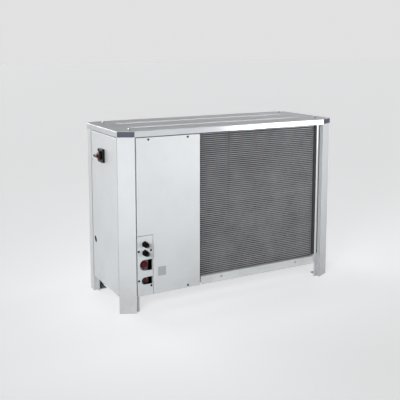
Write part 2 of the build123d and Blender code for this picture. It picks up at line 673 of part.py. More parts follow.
def contactor():
    """Contactor on the box's back wall, with a guide for its armature."""
    x, back, z = CONTACTOR_X, BOX_BACK, CONTACTOR_Z
    body = block((x - 23, x + 23), (back - 80, back), (z - 40, z + 40))
    for edge in (z - 40, z + 25):
        body -= block((x - 30, x + 30), (back - 90, back - 62), (edge, edge + 15))
    return body - block((x - 7, x + 7), (back - 90, back - 40), (z - 10, z + 10))


def contactor_armature():
    """Armature carrier that moves in the contactor's guide."""
    x, back, z = CONTACTOR_X, BOX_BACK, CONTACTOR_Z
    clear = 0.3
    sides = (x - 7 + clear, x + 7 - clear)
    return block(sides, (back - 84, back - 48), (z - 10 + clear, z + 10 - clear))


def run_capacitor():
    """Capacitor on the box's floor."""
    return rod(20, (-330, -60, BOX_Z[0] + PANEL_SHEET), (-330, -60, BOX_Z[0] + 96))


def terminal_block():
    """Row of terminals on a rail on the box's back wall."""
    back = BOX_BACK
    row = block((-400, -300), (back - 8, back), (690, 725))
    for index in range(6):
        left = -396 + 16 * index
        row += block((left, left + 12), (back - 42, back - 8), (684, 731))
    return row


SWITCH_Z = 500.0
SWITCH_Y = (-60.0, -120.0)
BUTTON_RADIUS = 4.0


def pressure_switch(y):
    """Pressure switch on the bulkhead."""
    body = rod(17, (BULKHEAD_X, y, SWITCH_Z), (BULKHEAD_X - 34, y, SWITCH_Z))
    return body + rod(5, (BULKHEAD_X - 20, y, SWITCH_Z - 30), (BULKHEAD_X - 20, y, SWITCH_Z))


def high_pressure_switch():
    """High pressure switch with a guide for its reset button."""
    y = SWITCH_Y[0]
    guide = rod(BUTTON_RADIUS + 0.3, (BULKHEAD_X - 35, y, SWITCH_Z), (BULKHEAD_X - 22, y, SWITCH_Z))
    return pressure_switch(y) - guide


def reset_button():
    """Manual reset button of the high pressure switch."""
    y = SWITCH_Y[0]
    return rod(BUTTON_RADIUS, (BULKHEAD_X - 40, y, SWITCH_Z), (BULKHEAD_X - 26, y, SWITCH_Z))


# ---------------------------------------------------------------- isolator, glands, fasteners
def isolator_plate():
    """Front plate of the rotary isolator, on the outside of the left panel."""
    half = ISOLATOR_SIZE / 2
    plate = LEFT * Pos(-ISOLATOR_Y, ISOLATOR_Z, ISOLATOR_PLATE / 2) * Box(2 * half, 2 * half, ISOLATOR_PLATE)
    rims = plate.faces().sort_by(Axis.X)[0].edges()
    plate = chamfer(rims, 2)
    hole = LEFT * Pos(-ISOLATOR_Y, ISOLATOR_Z, 0) * Cylinder(SPINDLE_RADIUS + RUNNING_FIT, 40)
    return plate - hole


def isolator_body():
    """Switch block of the isolator, behind the left panel."""
    body = LEFT * Pos(-ISOLATOR_Y, ISOLATOR_Z, -32 - PANEL_SHEET) * Box(58, 58, 64)
    body += LEFT * Pos(-ISOLATOR_Y, ISOLATOR_Z, -PANEL_SHEET / 2) * Cylinder(8.8, PANEL_SHEET)
    hole = LEFT * Pos(-ISOLATOR_Y, ISOLATOR_Z, -20) * Cylinder(SPINDLE_RADIUS + RUNNING_FIT, 40)
    return body - hole


def isolator_shaft():
    """Spindle that turns the switch block."""
    outer = -BODY_X - ISOLATOR_PLATE - 4
    return rod(SPINDLE_RADIUS, (outer, ISOLATOR_Y, ISOLATOR_Z), (-BODY_X + 38, ISOLATOR_Y, ISOLATOR_Z))


def isolator_knob():
    """Turning knob: round base with a bar grip, lying across in the OFF position."""
    seat = ISOLATOR_PLATE + 0.4
    knob = LEFT * Pos(-ISOLATOR_Y, ISOLATOR_Z, seat + 4) * Cylinder(22, 8)
    knob += LEFT * Pos(-ISOLATOR_Y, ISOLATOR_Z, seat + 8 + 9) * Box(46, 15, 18)
    hole = LEFT * Pos(-ISOLATOR_Y, ISOLATOR_Z, seat) * Cylinder(SPINDLE_RADIUS, 7.2)
    return knob - hole


def cable_glands():
    """Two cable glands: hexagon, tapered dome nut and thread through the plate."""
    glands = []
    for height in GLAND_HEIGHTS:
        face = -BODY_Y
        gland = hex_bar(27, (PORT_X, face, height), (PORT_X, face - 8, height))
        gland += hex_bar(24, (PORT_X, face - 8, height), (PORT_X, face - 23, height))
        gland += rod(9.5, (PORT_X, face - 23, height), (PORT_X, face - 33, height))
        gland += rod(GLAND_THREAD, (PORT_X, face, height), (PORT_X, face + 14, height))
        glands.append(gland - rod(GLAND_BORE, (PORT_X, face - 34, height), (PORT_X, face + 15, height)))
    return glands


def gland_locknuts():
    """Locknuts on the glands' threads, behind the plate."""
    nuts = []
    for height in GLAND_HEIGHTS:
        start = -BODY_Y + PANEL_SHEET
        nut = hex_bar(26, (PORT_X, start, height), (PORT_X, start + 5, height))
        nuts.append(nut - rod(GLAND_THREAD, (PORT_X, start - 1, height), (PORT_X, start + 6, height)))
    return nuts


def panel_screws():
    """Black screws of the service panel, the connection plate and the rail."""
    heads = screws(FRONT, SERVICE_SCREWS + PLATE_SCREWS + RAIL_SCREWS)
    return heads + screws(FRONT.offset(-18), [LAP_SCREW])


def casing_screws():
    """Zinc-plated screws of the sides, the rear panels and the fan guard."""
    y, z = SIDE_SCREW
    made = screws(LEFT, [(y, z)]) + screws(RIGHT, [(-y, z)])
    made += screws(REAR, FAN_PANEL_SCREWS + REAR_PANEL_SCREWS)
    return made + screws(REAR.offset(1 + GUARD_WIRE), GUARD_SCREWS)


# ---------------------------------------------------------------- assembly
def mirrored_post(land, planes):
    """Corner post mirrored to another corner."""
    post = corner_post(land)
    for plane in planes:
        post = mirror(post, about=plane)
    return post


PARTS = {
    "base_pan": base_pan(),
    "post_rear_right": mirrored_post(REAR_LAND, []),
    "post_rear_left": mirrored_post(REAR_LAND, [Plane.YZ]),
    "post_front_right": mirrored_post(FRONT_LAND, [Plane.XZ]),
    "post_front_left": mirrored_post(FRONT_LAND, [Plane.XZ, Plane.YZ]),
    "foot_plates": foot_plates(),
    "top_gussets": top_gussets(),
    "top_cover": top_cover(),
    "corner_caps": corner_caps(),
    "cover_bolts": cover_bolts(),
    "service_panel": service_panel(),
    "connection_plate": connection_plate(),
    "left_side_panel": left_side_panel(),
    "right_side_panel": right_side_panel(),
    "rear_service_panel": rear_service_panel(),
    "fan_panel": fan_panel(),
    "fan_bellmouth": fan_bellmouth(),
    "fan_guard": fan_guard(),
    "front_rail": front_rail(),
    "bulkhead": bulkhead(),
    "condenser_coil": condenser_coil(),
    "condenser_fins": condenser_fins(),
    "coil_seals": coil_seals(),
    "fan_support": fan_support(),
    "fan_motor": fan_motor(),
    "fan_shaft": fan_shaft(),
    "fan_impeller": fan_impeller(),
    "compressor": compressor(),
    "compressor_grommets": compressor_grommets(),
    "compressor_bolts": compressor_bolts(),
    "terminal_box": terminal_box(),
    "suction_valve": suction_valve(),
    "liquid_valve": liquid_valve(),
    "valve_bracket": valve_bracket(),
    "pipe_caps": pipe_caps(),
    "suction_pipe": suction_pipe(),
    "discharge_pipe": discharge_pipe(),
    "condenser_outlet_pipe": condenser_outlet_pipe(),
    "liquid_pipes": liquid_pipes(),
    "liquid_receiver": liquid_receiver(),
    "filter_drier": filter_drier(),
    "sight_glass": sight_glass(),
    "electrical_box": electrical_box(),
    "electrical_lid": electrical_lid(),
    "contactor": contactor(),
    "contactor_armature": contactor_armature(),
    "run_capacitor": run_capacitor(),
    "terminal_block": terminal_block(),
    "high_pressure_switch": high_pressure_switch(),
    "low_pressure_switch": pressure_switch(SWITCH_Y[1]),
    "reset_button": reset_button(),
    "isolator_plate": isolator_plate(),
    "isolator_body": isolator_body(),
    "isolator_shaft": isolator_shaft(),
    "isolator_knob": isolator_knob(),
    "cable_glands": cable_glands(),
    "gland_locknuts": gland_locknuts(),
    "panel_screws": panel_screws(),
    "casing_screws": casing_screws(),
}

os.makedirs("parts", exist_ok=True)
for name, shape in PARTS.items():
    solids = shape if isinstance(shape, (list, ShapeList)) else [shape]
    pieces = [solid for item in solids for solid in item.solids()]
    export_step(Compound(children=pieces) if len(pieces) > 1 else pieces[0], f"parts/{name}.step")
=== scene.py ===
import json
from math import cos, pi, radians, sin

import bmesh
import bpy
from mathutils import Matrix, Vector


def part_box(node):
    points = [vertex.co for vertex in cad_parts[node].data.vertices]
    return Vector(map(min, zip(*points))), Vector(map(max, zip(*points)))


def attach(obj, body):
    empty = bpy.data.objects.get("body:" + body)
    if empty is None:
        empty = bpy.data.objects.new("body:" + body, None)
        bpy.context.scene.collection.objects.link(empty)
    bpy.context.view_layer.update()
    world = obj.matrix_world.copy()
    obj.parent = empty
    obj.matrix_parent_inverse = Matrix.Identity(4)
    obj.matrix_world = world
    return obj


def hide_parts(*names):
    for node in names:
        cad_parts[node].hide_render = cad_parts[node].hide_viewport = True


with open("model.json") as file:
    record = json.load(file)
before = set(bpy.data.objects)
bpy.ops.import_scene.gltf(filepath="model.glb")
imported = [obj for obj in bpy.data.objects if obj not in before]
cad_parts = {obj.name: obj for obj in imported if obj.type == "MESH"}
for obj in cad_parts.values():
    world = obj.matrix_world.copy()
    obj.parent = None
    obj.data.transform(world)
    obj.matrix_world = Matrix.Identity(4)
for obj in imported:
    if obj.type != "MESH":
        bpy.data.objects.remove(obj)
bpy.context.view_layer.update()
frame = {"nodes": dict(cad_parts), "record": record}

# Shapes are in millimetres, which piece() turns into metres; materials, lamps and camera are in metres.
MM = 0.001


def box_mm(node):
    """Lowest and highest corner of a CAD node in millimetres."""
    low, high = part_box(node)
    return low / MM, high / MM


# ---------------------------------------------------------------- dimensions
COVER_X, COVER_Y = box_mm("top_cover")[1][:2]
BODY_X = box_mm("right_side_panel")[1].x
BODY_Y = box_mm("rear_service_panel")[1].y
POST_TOP = box_mm("post_rear_right")[1].z
LIP_BOTTOM = box_mm("top_cover")[0].z
COVER_SHEET, POST_SHEET, PANEL_SHEET = 1.5, 2.0, 1.2
COVER_TOP = POST_TOP + COVER_SHEET
CHAMFER_X, CHAMFER_Y = 70.0, 35.0
REBATE, FLANGE, SEAM = 20.0, 22.0, 2.0
FRONT_LAND, REAR_LAND = 6.0, 46.0
PANEL_DEPTH = REBATE - 1.0
BEND = 2.2
FAN_X, _, FAN_Z = sum(box_mm("fan_guard"), Vector()) / 2


def work_plane(right, normal, distance):
    """Upright work plane: x to the right as seen from outside, y up, z outwards."""
    matrix = Matrix((right, (0, 0, 1), normal)).transposed().to_4x4()
    matrix.translation = Vector(normal) * distance
    return matrix


FRONT = work_plane((1, 0, 0), (0, -1, 0), BODY_Y)
REAR = work_plane((-1, 0, 0), (0, 1, 0), BODY_Y)
LEFT = work_plane((0, -1, 0), (-1, 0, 0), BODY_X)
RIGHT = work_plane((0, 1, 0), (1, 0, 0), BODY_X)


def at(x, y, z=0.0):
    """Shift as a matrix."""
    return Matrix.Translation((x, y, z))


def turn(degrees, axis="Z"):
    """Turn about an axis as a matrix."""
    return Matrix.Rotation(radians(degrees), 4, axis)


# ---------------------------------------------------------------- shader helpers
def linear(*levels):
    """8-bit display colour as a linear colour."""
    scaled = [level / 255 for level in levels]
    return [c / 12.92 if c <= 0.04045 else ((c + 0.055) / 1.055) ** 2.4 for c in scaled] + [1.0]


class Graph:
    """Adds and joins the nodes of one shader tree."""

    def __init__(self, tree):
        self.tree = tree

    def add(self, kind, settings=None, **inputs):
        """Adds a node; keyword names use _ for a space."""
        node = self.tree.nodes.new(kind)
        for key, value in (settings or {}).items():
            setattr(node, key, value)
        for key, value in inputs.items():
            self.put(node.inputs[key.replace("_", " ")], value)
        return node

    def put(self, socket, value):
        """Links an output socket, or sets a plain value."""
        if isinstance(value, bpy.types.NodeSocket):
            self.tree.links.new(value, socket)
        else:
            socket.default_value = value

    def noise(self, vector, scale, detail, rough=0.5):
        """Noise value."""
        node = self.add("ShaderNodeTexNoise", Vector=vector, Scale=scale, Detail=detail, Roughness=rough)
        return node.outputs["Fac"]

    def math(self, operation, a, b=0.0):
        """Sum, product and the like of two values."""
        node = self.add("ShaderNodeMath", {"operation": operation})
        self.put(node.inputs[0], a)
        self.put(node.inputs[1], b)
        return node.outputs[0]

    def ramp(self, value, low, high, to_low=0.0, to_high=1.0):
        """Value mapped from one range to another, held at its ends."""
        node = self.add("ShaderNodeMapRange", Value=value)
        for name, number in (("From Min", low), ("From Max", high), ("To Min", to_low), ("To Max", to_high)):
            self.put(node.inputs[name], number)
        return node.outputs["Result"]

    def mix(self, amount, a, b):
        """Colour between two colours."""
        node = self.add("ShaderNodeMix", {"data_type": "RGBA", "blend_type": "MIX"})
        self.put(node.inputs["Factor"], amount)
        self.put(node.inputs["A"], a)
        self.put(node.inputs["B"], b)
        return node.outputs["Result"]


def shared_effect(name, inputs, outputs):
    """Empty node group with named sockets, and a graph to fill it with."""
    group = bpy.data.node_groups.new(name, "ShaderNodeTree")
    kinds = {"f": "NodeSocketFloat", "c": "NodeSocketColor", "v": "NodeSocketVector"}
    for socket, kind in inputs:
        group.interface.new_socket(name=socket, in_out="INPUT", socket_type=kinds[kind])
    for socket, kind in outputs:
        group.interface.new_socket(name=socket, in_out="OUTPUT", socket_type=kinds[kind])
    graph = Graph(group)
    return group, graph, graph.add("NodeGroupInput").outputs, graph.add("NodeGroupOutput").inputs


def make_coat_texture():
    """Fine orange peel of a sprayed or powdered coat, with a faint cloudiness."""
    group, g, given, result = shared_effect(
        "coat_texture", [("Vector", "v"), ("Peel Scale", "f"), ("Cloud Scale", "f")],
        [("Height", "f"), ("Cloud", "f")])
    peel = g.noise(given["Vector"], given["Peel Scale"], 3.0)
    g.put(result["Height"], peel)
    g.put(result["Cloud"], g.ramp(g.noise(given["Vector"], given["Cloud Scale"], 4.0, 0.6), 0.3, 0.7))
    return group


GRIME_HEIGHT = 0.22


def make_handling():
    """Dust and grime, stronger near the floor and on level faces; Clean is zero on level faces."""
    group, g, given, result = shared_effect(
        "handling", [("Vector", "v"), ("Colour", "c"), ("Dust", "c"), ("Amount", "f"), ("Roughness", "f")],
        [("Colour", "c"), ("Roughness", "f"), ("Clean", "f")])
    place = g.add("ShaderNodeSeparateXYZ", Vector=given["Vector"])
    low = g.ramp(place.outputs["Z"], 0.0, GRIME_HEIGHT, 1.0, 0.0)
    facing = g.add("ShaderNodeSeparateXYZ", Vector=g.add("ShaderNodeNewGeometry").outputs["Normal"])
    level = g.ramp(facing.outputs["Z"], 0.6, 1.0, 0.0, 0.55)
    g.put(result["Clean"], g.ramp(facing.outputs["Z"], 0.85, 0.97, 1.0, 0.0))
    patch = g.ramp(g.noise(given["Vector"], 7.0, 6.0, 0.62), 0.42, 0.72)
    where = g.math("MULTIPLY", g.math("ADD", g.math("ADD", low, level), 0.35), patch)
    mask = g.math("MULTIPLY", where, given["Amount"])
    g.put(result["Colour"], g.mix(mask, given["Colour"], given["Dust"]))
    g.put(result["Roughness"], g.math("ADD", given["Roughness"], g.math("MULTIPLY", mask, 0.35)))
    return group


def make_grain():
    """Drawn or rolled metal: fine lines along the given direction, and broad tone."""
    group, g, given, result = shared_effect(
        "drawn_grain", [("Vector", "v"), ("Scale", "f"), ("Colour", "c"), ("Tone", "c")],
        [("Colour", "c"), ("Height", "f"), ("Lines", "f")])
    lines = g.noise(given["Vector"], given["Scale"], 2.0, 0.6)
    broad = g.noise(given["Vector"], g.math("MULTIPLY", given["Scale"], 0.06), 3.0, 0.6)
    blend = g.math("ADD", g.math("MULTIPLY", lines, 0.5), g.math("MULTIPLY", broad, 0.5))
    g.put(result["Colour"], g.mix(g.ramp(blend, 0.35, 0.65), given["Colour"], given["Tone"]))
    g.put(result["Height"], lines)
    g.put(result["Lines"], g.ramp(lines, 0.3, 0.7))
    return group


COAT, HANDLING, GRAIN = make_coat_texture(), make_handling(), make_grain()


def start_material(name):
    """Material with its shader, its graph and its Object coordinates."""
    material = bpy.data.materials.new(name)
    material.use_nodes = True
    graph = Graph(material.node_tree)
    shader = material.node_tree.nodes["Principled BSDF"]
    vector = graph.add("ShaderNodeTexCoord").outputs["Object"]
    return material, graph, shader, vector


def use_effect(graph, group, **inputs):
    """Places a shared effect; keyword names use _ for a space."""
    return graph.add("ShaderNodeGroup", {"node_tree": group}, **inputs).outputs


def bump(graph, shader, height, depth):
    """Feeds a height, at most depth in millimetres, to the shader's normal."""
    node = graph.add("ShaderNodeBump", Strength=1.0, Distance=depth * MM, Height=height)
    graph.put(shader.inputs["Normal"], node.outputs["Normal"])


def handled(g, shader, vector, colour, rough, dust, amount):
    """Gives the shader its colour and roughness under dust and grime; hands back where it is clean."""
    worn = use_effect(g, HANDLING, Vector=vector, Colour=colour, Dust=dust, Amount=amount, Roughness=rough)
    g.put(shader.inputs["Base Color"], worn["Colour"])
    g.put(shader.inputs["Roughness"], worn["Roughness"])
    return worn["Clean"]


COAT_DUST, METAL_DUST, ZINC_DUST = linear(150, 146, 138), linear(120, 118, 112), linear(120, 116, 108)
METAL_GRAIN, METAL_GRIME = 0.01, 0.15


def coated(name, colour, rough, peel=900.0, depth=0.02, amount=0.25, cloud=0.05, coat=0.0, gloss=0.5):
    """Painted, powder-coated or moulded surface."""
    material, g, shader, vector = start_material(name)
    texture = use_effect(g, COAT, Vector=vector, Peel_Scale=peel, Cloud_Scale=3.2)
    darker = [channel * (1 - cloud) for channel in colour[:3]] + [1.0]
    tone = g.mix(texture["Cloud"], colour, darker)
    clean = handled(g, shader, vector, tone, rough, COAT_DUST, amount)
    if coat:
        g.put(shader.inputs["Coat Weight"], g.math("MULTIPLY", clean, coat))
    shader.inputs["Coat Roughness"].default_value = 0.12
    shader.inputs["Specular IOR Level"].default_value = gloss
    bump(g, shader, texture["Height"], depth)
    return material


def metal(name, colour, tone, rough, stretch, scale, metallic=1.0):
    """Drawn, rolled or plated metal; the grain lines run along the way of the smallest stretch."""
    material, g, shader, vector = start_material(name)
    mapped = g.add("ShaderNodeMapping", Vector=vector, Scale=stretch).outputs["Vector"]
    grain = use_effect(g, GRAIN, Vector=mapped, Scale=scale, Colour=colour, Tone=tone)
    uneven = g.ramp(grain["Lines"], 0.0, 1.0, rough - 0.06, rough + 0.06)
    handled(g, shader, vector, grain["Colour"], uneven, METAL_DUST, METAL_GRIME)
    shader.inputs["Metallic"].default_value = metallic
    bump(g, shader, grain["Height"], METAL_GRAIN)
    return material


def galvanised_sheet():
    """Zinc-coated sheet with its spangle."""
    material, g, shader, vector = start_material("galvanised_sheet")
    cells = g.add("ShaderNodeTexVoronoi", Vector=vector, Scale=110.0).outputs["Color"]
    tone = g.ramp(g.add("ShaderNodeSeparateColor", Color=cells).outputs["Red"], 0.0, 1.0)
    colour = g.mix(tone, linear(172, 176, 178), linear(140, 144, 148))
    handled(g, shader, vector, colour, g.ramp(tone, 0.0, 1.0, 0.34, 0.5), ZINC_DUST, 0.3)
    shader.inputs["Metallic"].default_value = 0.85
    bump(g, shader, tone, 0.01)
    return material


# Fin tones, both far darker than the tube aluminium: painted shade of the deep fin pack; the two tones
# themselves make random dull patches.
FIN_LIGHT, FIN_DARK = linear(132, 134, 138), linear(88, 90, 94)
FIN_STRAP_SHADE, FIN_SLIT_SHADE = linear(38, 39, 41), linear(30, 31, 33)
# Painted shade on the fins, a dark line where an upright strap behind the coil shows through: its place, half
# its width and where it has faded out.
STRAP_SHADE_X, STRAP_SHADE_HALF, STRAP_SHADE_EDGE = -0.024, 0.002, 0.005


def shaded_fin_strip():
    """Rolled fin strip, painted darker than the tubes as shade of the deep fin pack: louvre slits across the
    air flow painted near-black as their shade, dull patches, and a painted dark line for the shade of an
    upright strap behind the coil.
    """
    material, g, shader, vector = start_material("shaded_fin_strip")
    slits = g.add("ShaderNodeTexWave", {"wave_type": "BANDS", "bands_direction": "Y", "wave_profile": "SIN"},
                  Vector=vector, Scale=125.0).outputs["Fac"]
    patch = g.ramp(g.noise(vector, 5.0, 5.0, 0.65), 0.35, 0.68)
    spot = g.add("ShaderNodeSeparateXYZ", Vector=vector).outputs
    beside = g.math("ABSOLUTE", g.math("SUBTRACT", spot["X"], STRAP_SHADE_X))
    across = g.ramp(beside, STRAP_SHADE_HALF, STRAP_SHADE_EDGE, 1.0, 0.0)
    # Painted shade line, fading out towards the bottom.
    strap = g.math("MULTIPLY", across, g.ramp(spot["Z"], 0.35, 0.8, 0.1, 0.75))
    colour = g.mix(strap, g.mix(patch, FIN_LIGHT, FIN_DARK), FIN_STRAP_SHADE)
    # The louvre slits are painted near-black: painted shade inside the slits.
    g.put(shader.inputs["Base Color"], g.mix(g.ramp(slits, 0.0, 0.35, 0.55, 0.0), colour, FIN_SLIT_SHADE))
    g.put(shader.inputs["Roughness"], g.ramp(patch, 0.0, 1.0, 0.42, 0.6))
    shader.inputs["Metallic"].default_value = 0.7
    bump(g, shader, slits, 0.25)
    return material


def closed_foam():
    """Closed-cell foam strip."""
    material, g, shader, vector = start_material("closed_foam")
    cells = g.add("ShaderNodeTexVoronoi", Vector=vector, Scale=1400.0).outputs["Distance"]
    g.put(shader.inputs["Base Color"], g.mix(g.ramp(cells, 0.0, 0.6), linear(30, 31, 33), linear(52, 53, 56)))
    shader.inputs["Roughness"].default_value = 0.9
    bump(g, shader, cells, 0.15)
    return material


MATERIALS = {
    "casing_paint": coated("casing_coat", linear(218, 221, 223), 0.36, coat=0.25, cloud=0.03),
    # Cover paint: the casing's paint made darker, as painted shade for the cover's top, which takes less
    # light than the sides.
    "cover_paint": coated("cover_coat_shaded", linear(204, 207, 211), 0.36, coat=0.7, gloss=0.06, cloud=0.03),
    "cap_plastic": coated("slate_plastic", linear(74, 78, 93), 0.45, peel=1500, amount=0.1, gloss=0.3),
    "black_plastic": coated("black_moulding", linear(5, 5, 6), 0.36, peel=1600, amount=0.02, gloss=0.3),
    "red_plastic": coated("red_moulding", linear(84, 0, 10), 0.36, peel=1800, amount=0.02, gloss=0.22),
    "galvanised": galvanised_sheet(),
    "zinc": metal("zinc_plate", linear(176, 176, 170), linear(140, 140, 136), 0.3, (1, 1, 1), 300),
    # The tubes' pale tone is partly the aluminium's own and partly painted light for the light that the tube
    # noses catch.
    "coil_aluminium": metal("lit_tube_aluminium", linear(226, 228, 231), linear(196, 199, 203), 0.38,
                            (0.05, 1, 1), 220, metallic=0.3),
    "black_paint": coated("black_enamel", linear(24, 24, 25), 0.3, peel=700, amount=0.25, coat=0.2),
    "fan_plastic": coated("glass_filled_plastic", linear(38, 38, 40), 0.55, peel=500, depth=0.04, amount=0.4),
    "copper": metal("drawn_copper", linear(196, 122, 90), linear(150, 86, 62), 0.28, (1, 1, 0.1), 180),
    "brass": metal("turned_brass", linear(196, 164, 96), linear(158, 128, 70), 0.26, (1, 1, 0.2), 240),
    "rubber": coated("black_rubber", linear(26, 26, 26), 0.75, peel=1200, depth=0.05, amount=0.3),
    "foam": closed_foam(),
    "control_plastic": coated("grey_moulding", linear(158, 162, 162), 0.5, peel=1500, amount=0.1),
}
SHADED_FIN_STRIP = shaded_fin_strip()
GLAND_NYLON = coated("gland_nylon", linear(3, 3, 4), 0.32, peel=1600, amount=0.0, gloss=0.05)
PLATE_FOIL = coated("plate_foil", linear(176, 180, 184), 0.4, peel=1500, amount=0.1)

for entry in frame["record"]["subparts"]:
    mesh = frame["nodes"][entry["node"]].data
    mesh.materials.clear()
    mesh.materials.append(MATERIALS[entry["material_slot"]])


# ---------------------------------------------------------------- shape helpers
def corners(bm, points):
    """A vertex at each point; a point of two numbers lies at zero height."""
    return [bm.verts.new((*point, 0.0) if len(point) == 2 else point) for point in points]


def polygon(bm, points):
    """Flat face through the given points."""
    return bm.faces.new(corners(bm, points))


def chain(bm, points):
    """Open line of edges through the given points."""
    verts = corners(bm, points)
    return [bm.edges.new(pair) for pair in zip(verts, verts[1:])]


def everything(bm):
    """All vertices, edges and faces of a shape."""
    return bm.verts[:] + bm.edges[:] + bm.faces[:]


def only(geom, kind):
    """The vertices, edges or faces among what an operator returns."""
    return [item for item in geom if isinstance(item, kind)]


def pull(bm, items, offset, faces=True):
    """Extrudes faces, or edges into a sheet, and moves the new part."""
    if faces:
        made = bmesh.ops.extrude_face_region(bm, geom=items)["geom"]
    else:
        made = bmesh.ops.extrude_edge_only(bm, edges=items)["geom"]
    bmesh.ops.translate(bm, verts=only(made, bmesh.types.BMVert), vec=offset)
    return made


def soften(bm, edges, radius, segments=2):
    """Rounds the given edges."""
    bmesh.ops.bevel(bm, geom=list(edges), offset=radius, offset_type="OFFSET", segments=segments,
                    profile=0.5, affect="EDGES", material=-1, clamp_overlap=True)


def inner(edges):
    """Edges between two faces."""
    return [edge for edge in edges if len(edge.link_faces) == 2]


def sharp_edges(bm, angle):
    """Edges where two faces meet at more than an angle."""
    return [edge for edge in inner(bm.edges) if edge.calc_face_angle() > radians(angle)]


def running(edges, axis):
    """Edges that run along axis 0, 1 or 2."""
    return [edge for edge in edges if abs(edge.verts[0].co[axis] - edge.verts[1].co[axis]) > 1]


def outermost(bm):
    """The face that lies furthest out along Z."""
    return max(bm.faces, key=lambda face: face.calc_center_median().z)


def face_along(bm, face, way):
    """Turns the whole shape inside out where a face of it looks away from the given way."""
    if face.normal.dot(Vector(way)) < 0:
        bmesh.ops.reverse_faces(bm, faces=bm.faces)


def place(bm, *matrices):
    """Moves the whole shape through the matrices, last one first."""
    for matrix in reversed(matrices):
        bmesh.ops.transform(bm, matrix=matrix, verts=bm.verts)
    return bm


def merged(*shapes):
    """One bmesh from several."""
    whole = bmesh.new()
    for shape in shapes:
        mesh = bpy.data.meshes.new("part")
        shape.to_mesh(mesh)
        shape.free()
        whole.from_mesh(mesh)
        bpy.data.meshes.remove(mesh)
    return whole


def copies(shape, matrices):
    """The shape repeated at each matrix."""
    whole = merged(*[place(shape.copy(), matrix) for matrix in matrices])
    shape.free()
    return whole


def block(low, high, radius=0.0, segments=2):
    """Box between two corners, with rounded edges."""
    bm = bmesh.new()
    bmesh.ops.create_cube(bm, size=1.0)
    size = Vector(high) - Vector(low)
    place(bm, Matrix.Translation((Vector(low) + Vector(high)) / 2), Matrix.Diagonal((*size, 1)))
    if radius:
        soften(bm, bm.edges[:], radius, segments)
    return bm


def rounded_bar(size, radius, low, high):
    """Rectangular bar about Z with rounded corners."""
    x, y = size[0] / 2, size[1] / 2
    bm = block((-x, -y, low), (x, y, high))
    soften(bm, running(bm.edges, 2), radius, 6)
    return bm


def full_turn(bm, geom, steps):
    """Spins a profile once round Z, closes the result and turns its faces outwards."""
    bmesh.ops.spin(bm, geom=geom, axis=(0, 0, 1), cent=(0, 0, 0), angle=2 * pi, steps=steps, use_merge=True)
    bmesh.ops.remove_doubles(bm, verts=bm.verts, dist=1e-4)
    bmesh.ops.recalc_face_normals(bm, faces=bm.faces)
    return bm


def lathe(profile, steps=32):
    """Turned shape about Z from (radius, height) points, closed where it meets the axis."""
    bm = bmesh.new()
    edges = chain(bm, [(radius, 0.0, height) for radius, height in profile])
    verts = list(dict.fromkeys(vert for edge in edges for vert in edge.verts))
    return full_turn(bm, verts + edges, steps)


def prism(sides, across_flats, low, high, radius=0.0):
    """Regular bar about Z, with rounded edges."""
    bm = bmesh.new()
    corner = across_flats / 2 / cos(pi / sides)
    bmesh.ops.create_cone(bm, cap_ends=True, segments=sides, radius1=corner, radius2=corner, depth=high - low)
    place(bm, at(0, 0, (low + high) / 2))
    if radius:
        soften(bm, bm.edges[:], radius)
    return bm


def mirror_corners(shape):
    """The shape of the +X +Y corner at all four corners."""
    made = []
    for x in (1, -1):
        for y in (1, -1):
            item = place(shape.copy(), Matrix.Diagonal((x, y, 1, 1)))
            if x * y < 0:
                bmesh.ops.reverse_faces(item, faces=item.faces)
            made.append(item)
    shape.free()
    return merged(*made)


def piece(name, bm, slot, body="cabinet", replaces=(), smooth=None, sheet=0.0, cuts=(), material=None):
    """Finishes a shape as one piece of the unit: wall, openings, shading, material and body."""
    made = scene_object(name, place(bm, Matrix.Scale(MM, 4)))
    made.data.materials.append(material or MATERIALS[slot])
    if sheet:
        wall = made.modifiers.new("wall", "SOLIDIFY")
        wall.thickness = sheet * MM
        wall.offset = -1.0
        wall.use_even_offset = True
    if cuts:
        cut_out(made, scene_object("tool", place(merged(*cuts), Matrix.Scale(MM, 4))))
    if smooth:
        made.data.polygons.foreach_set("use_smooth", [True] * len(made.data.polygons))
        made.data.set_sharp_from_angle(angle=radians(smooth))
    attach(made, body)
    if replaces:
        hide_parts(*replaces)
    return made


def scene_object(name, bm):
    """Object at the origin from a shape."""
    mesh = bpy.data.meshes.new(name)
    bm.to_mesh(mesh)
    bm.free()
    made = bpy.data.objects.new(name, mesh)
    bpy.context.scene.collection.objects.link(made)
    return made


def cut_out(made, tool):
    """Takes the tool's volume out of a piece and keeps the result as its mesh."""
    opening = made.modifiers.new("opening", "BOOLEAN")
    opening.object = tool
    opening.operation = "DIFFERENCE"
    opening.solver = "EXACT"
    opening.use_self = True
    graph = bpy.context.evaluated_depsgraph_get()
    result = bpy.data.meshes.new_from_object(made.evaluated_get(graph))
    made.modifiers.clear()
    made.data = result
    bpy.data.objects.remove(tool)


def take_from(shape, tool):
    """The first shape less the second."""
    made = scene_object("part", shape)
    cut_out(made, scene_object("tool", tool))
    bm = bmesh.new()
    bm.from_mesh(made.data)
    bpy.data.objects.remove(made)
    return bm


# ---------------------------------------------------------------- cover
RIB_HALF_LENGTH, RIB_Y, RIB_WIDTH = 486.0, 88.0, 42.0
RIB_SLOPE, RIB_RISE, RIB_BEND, LIP_BEND = 6.5, 4.8, 1.4, 4.0
CAP_WALL, CAP_GAP = 2.2, 0.2


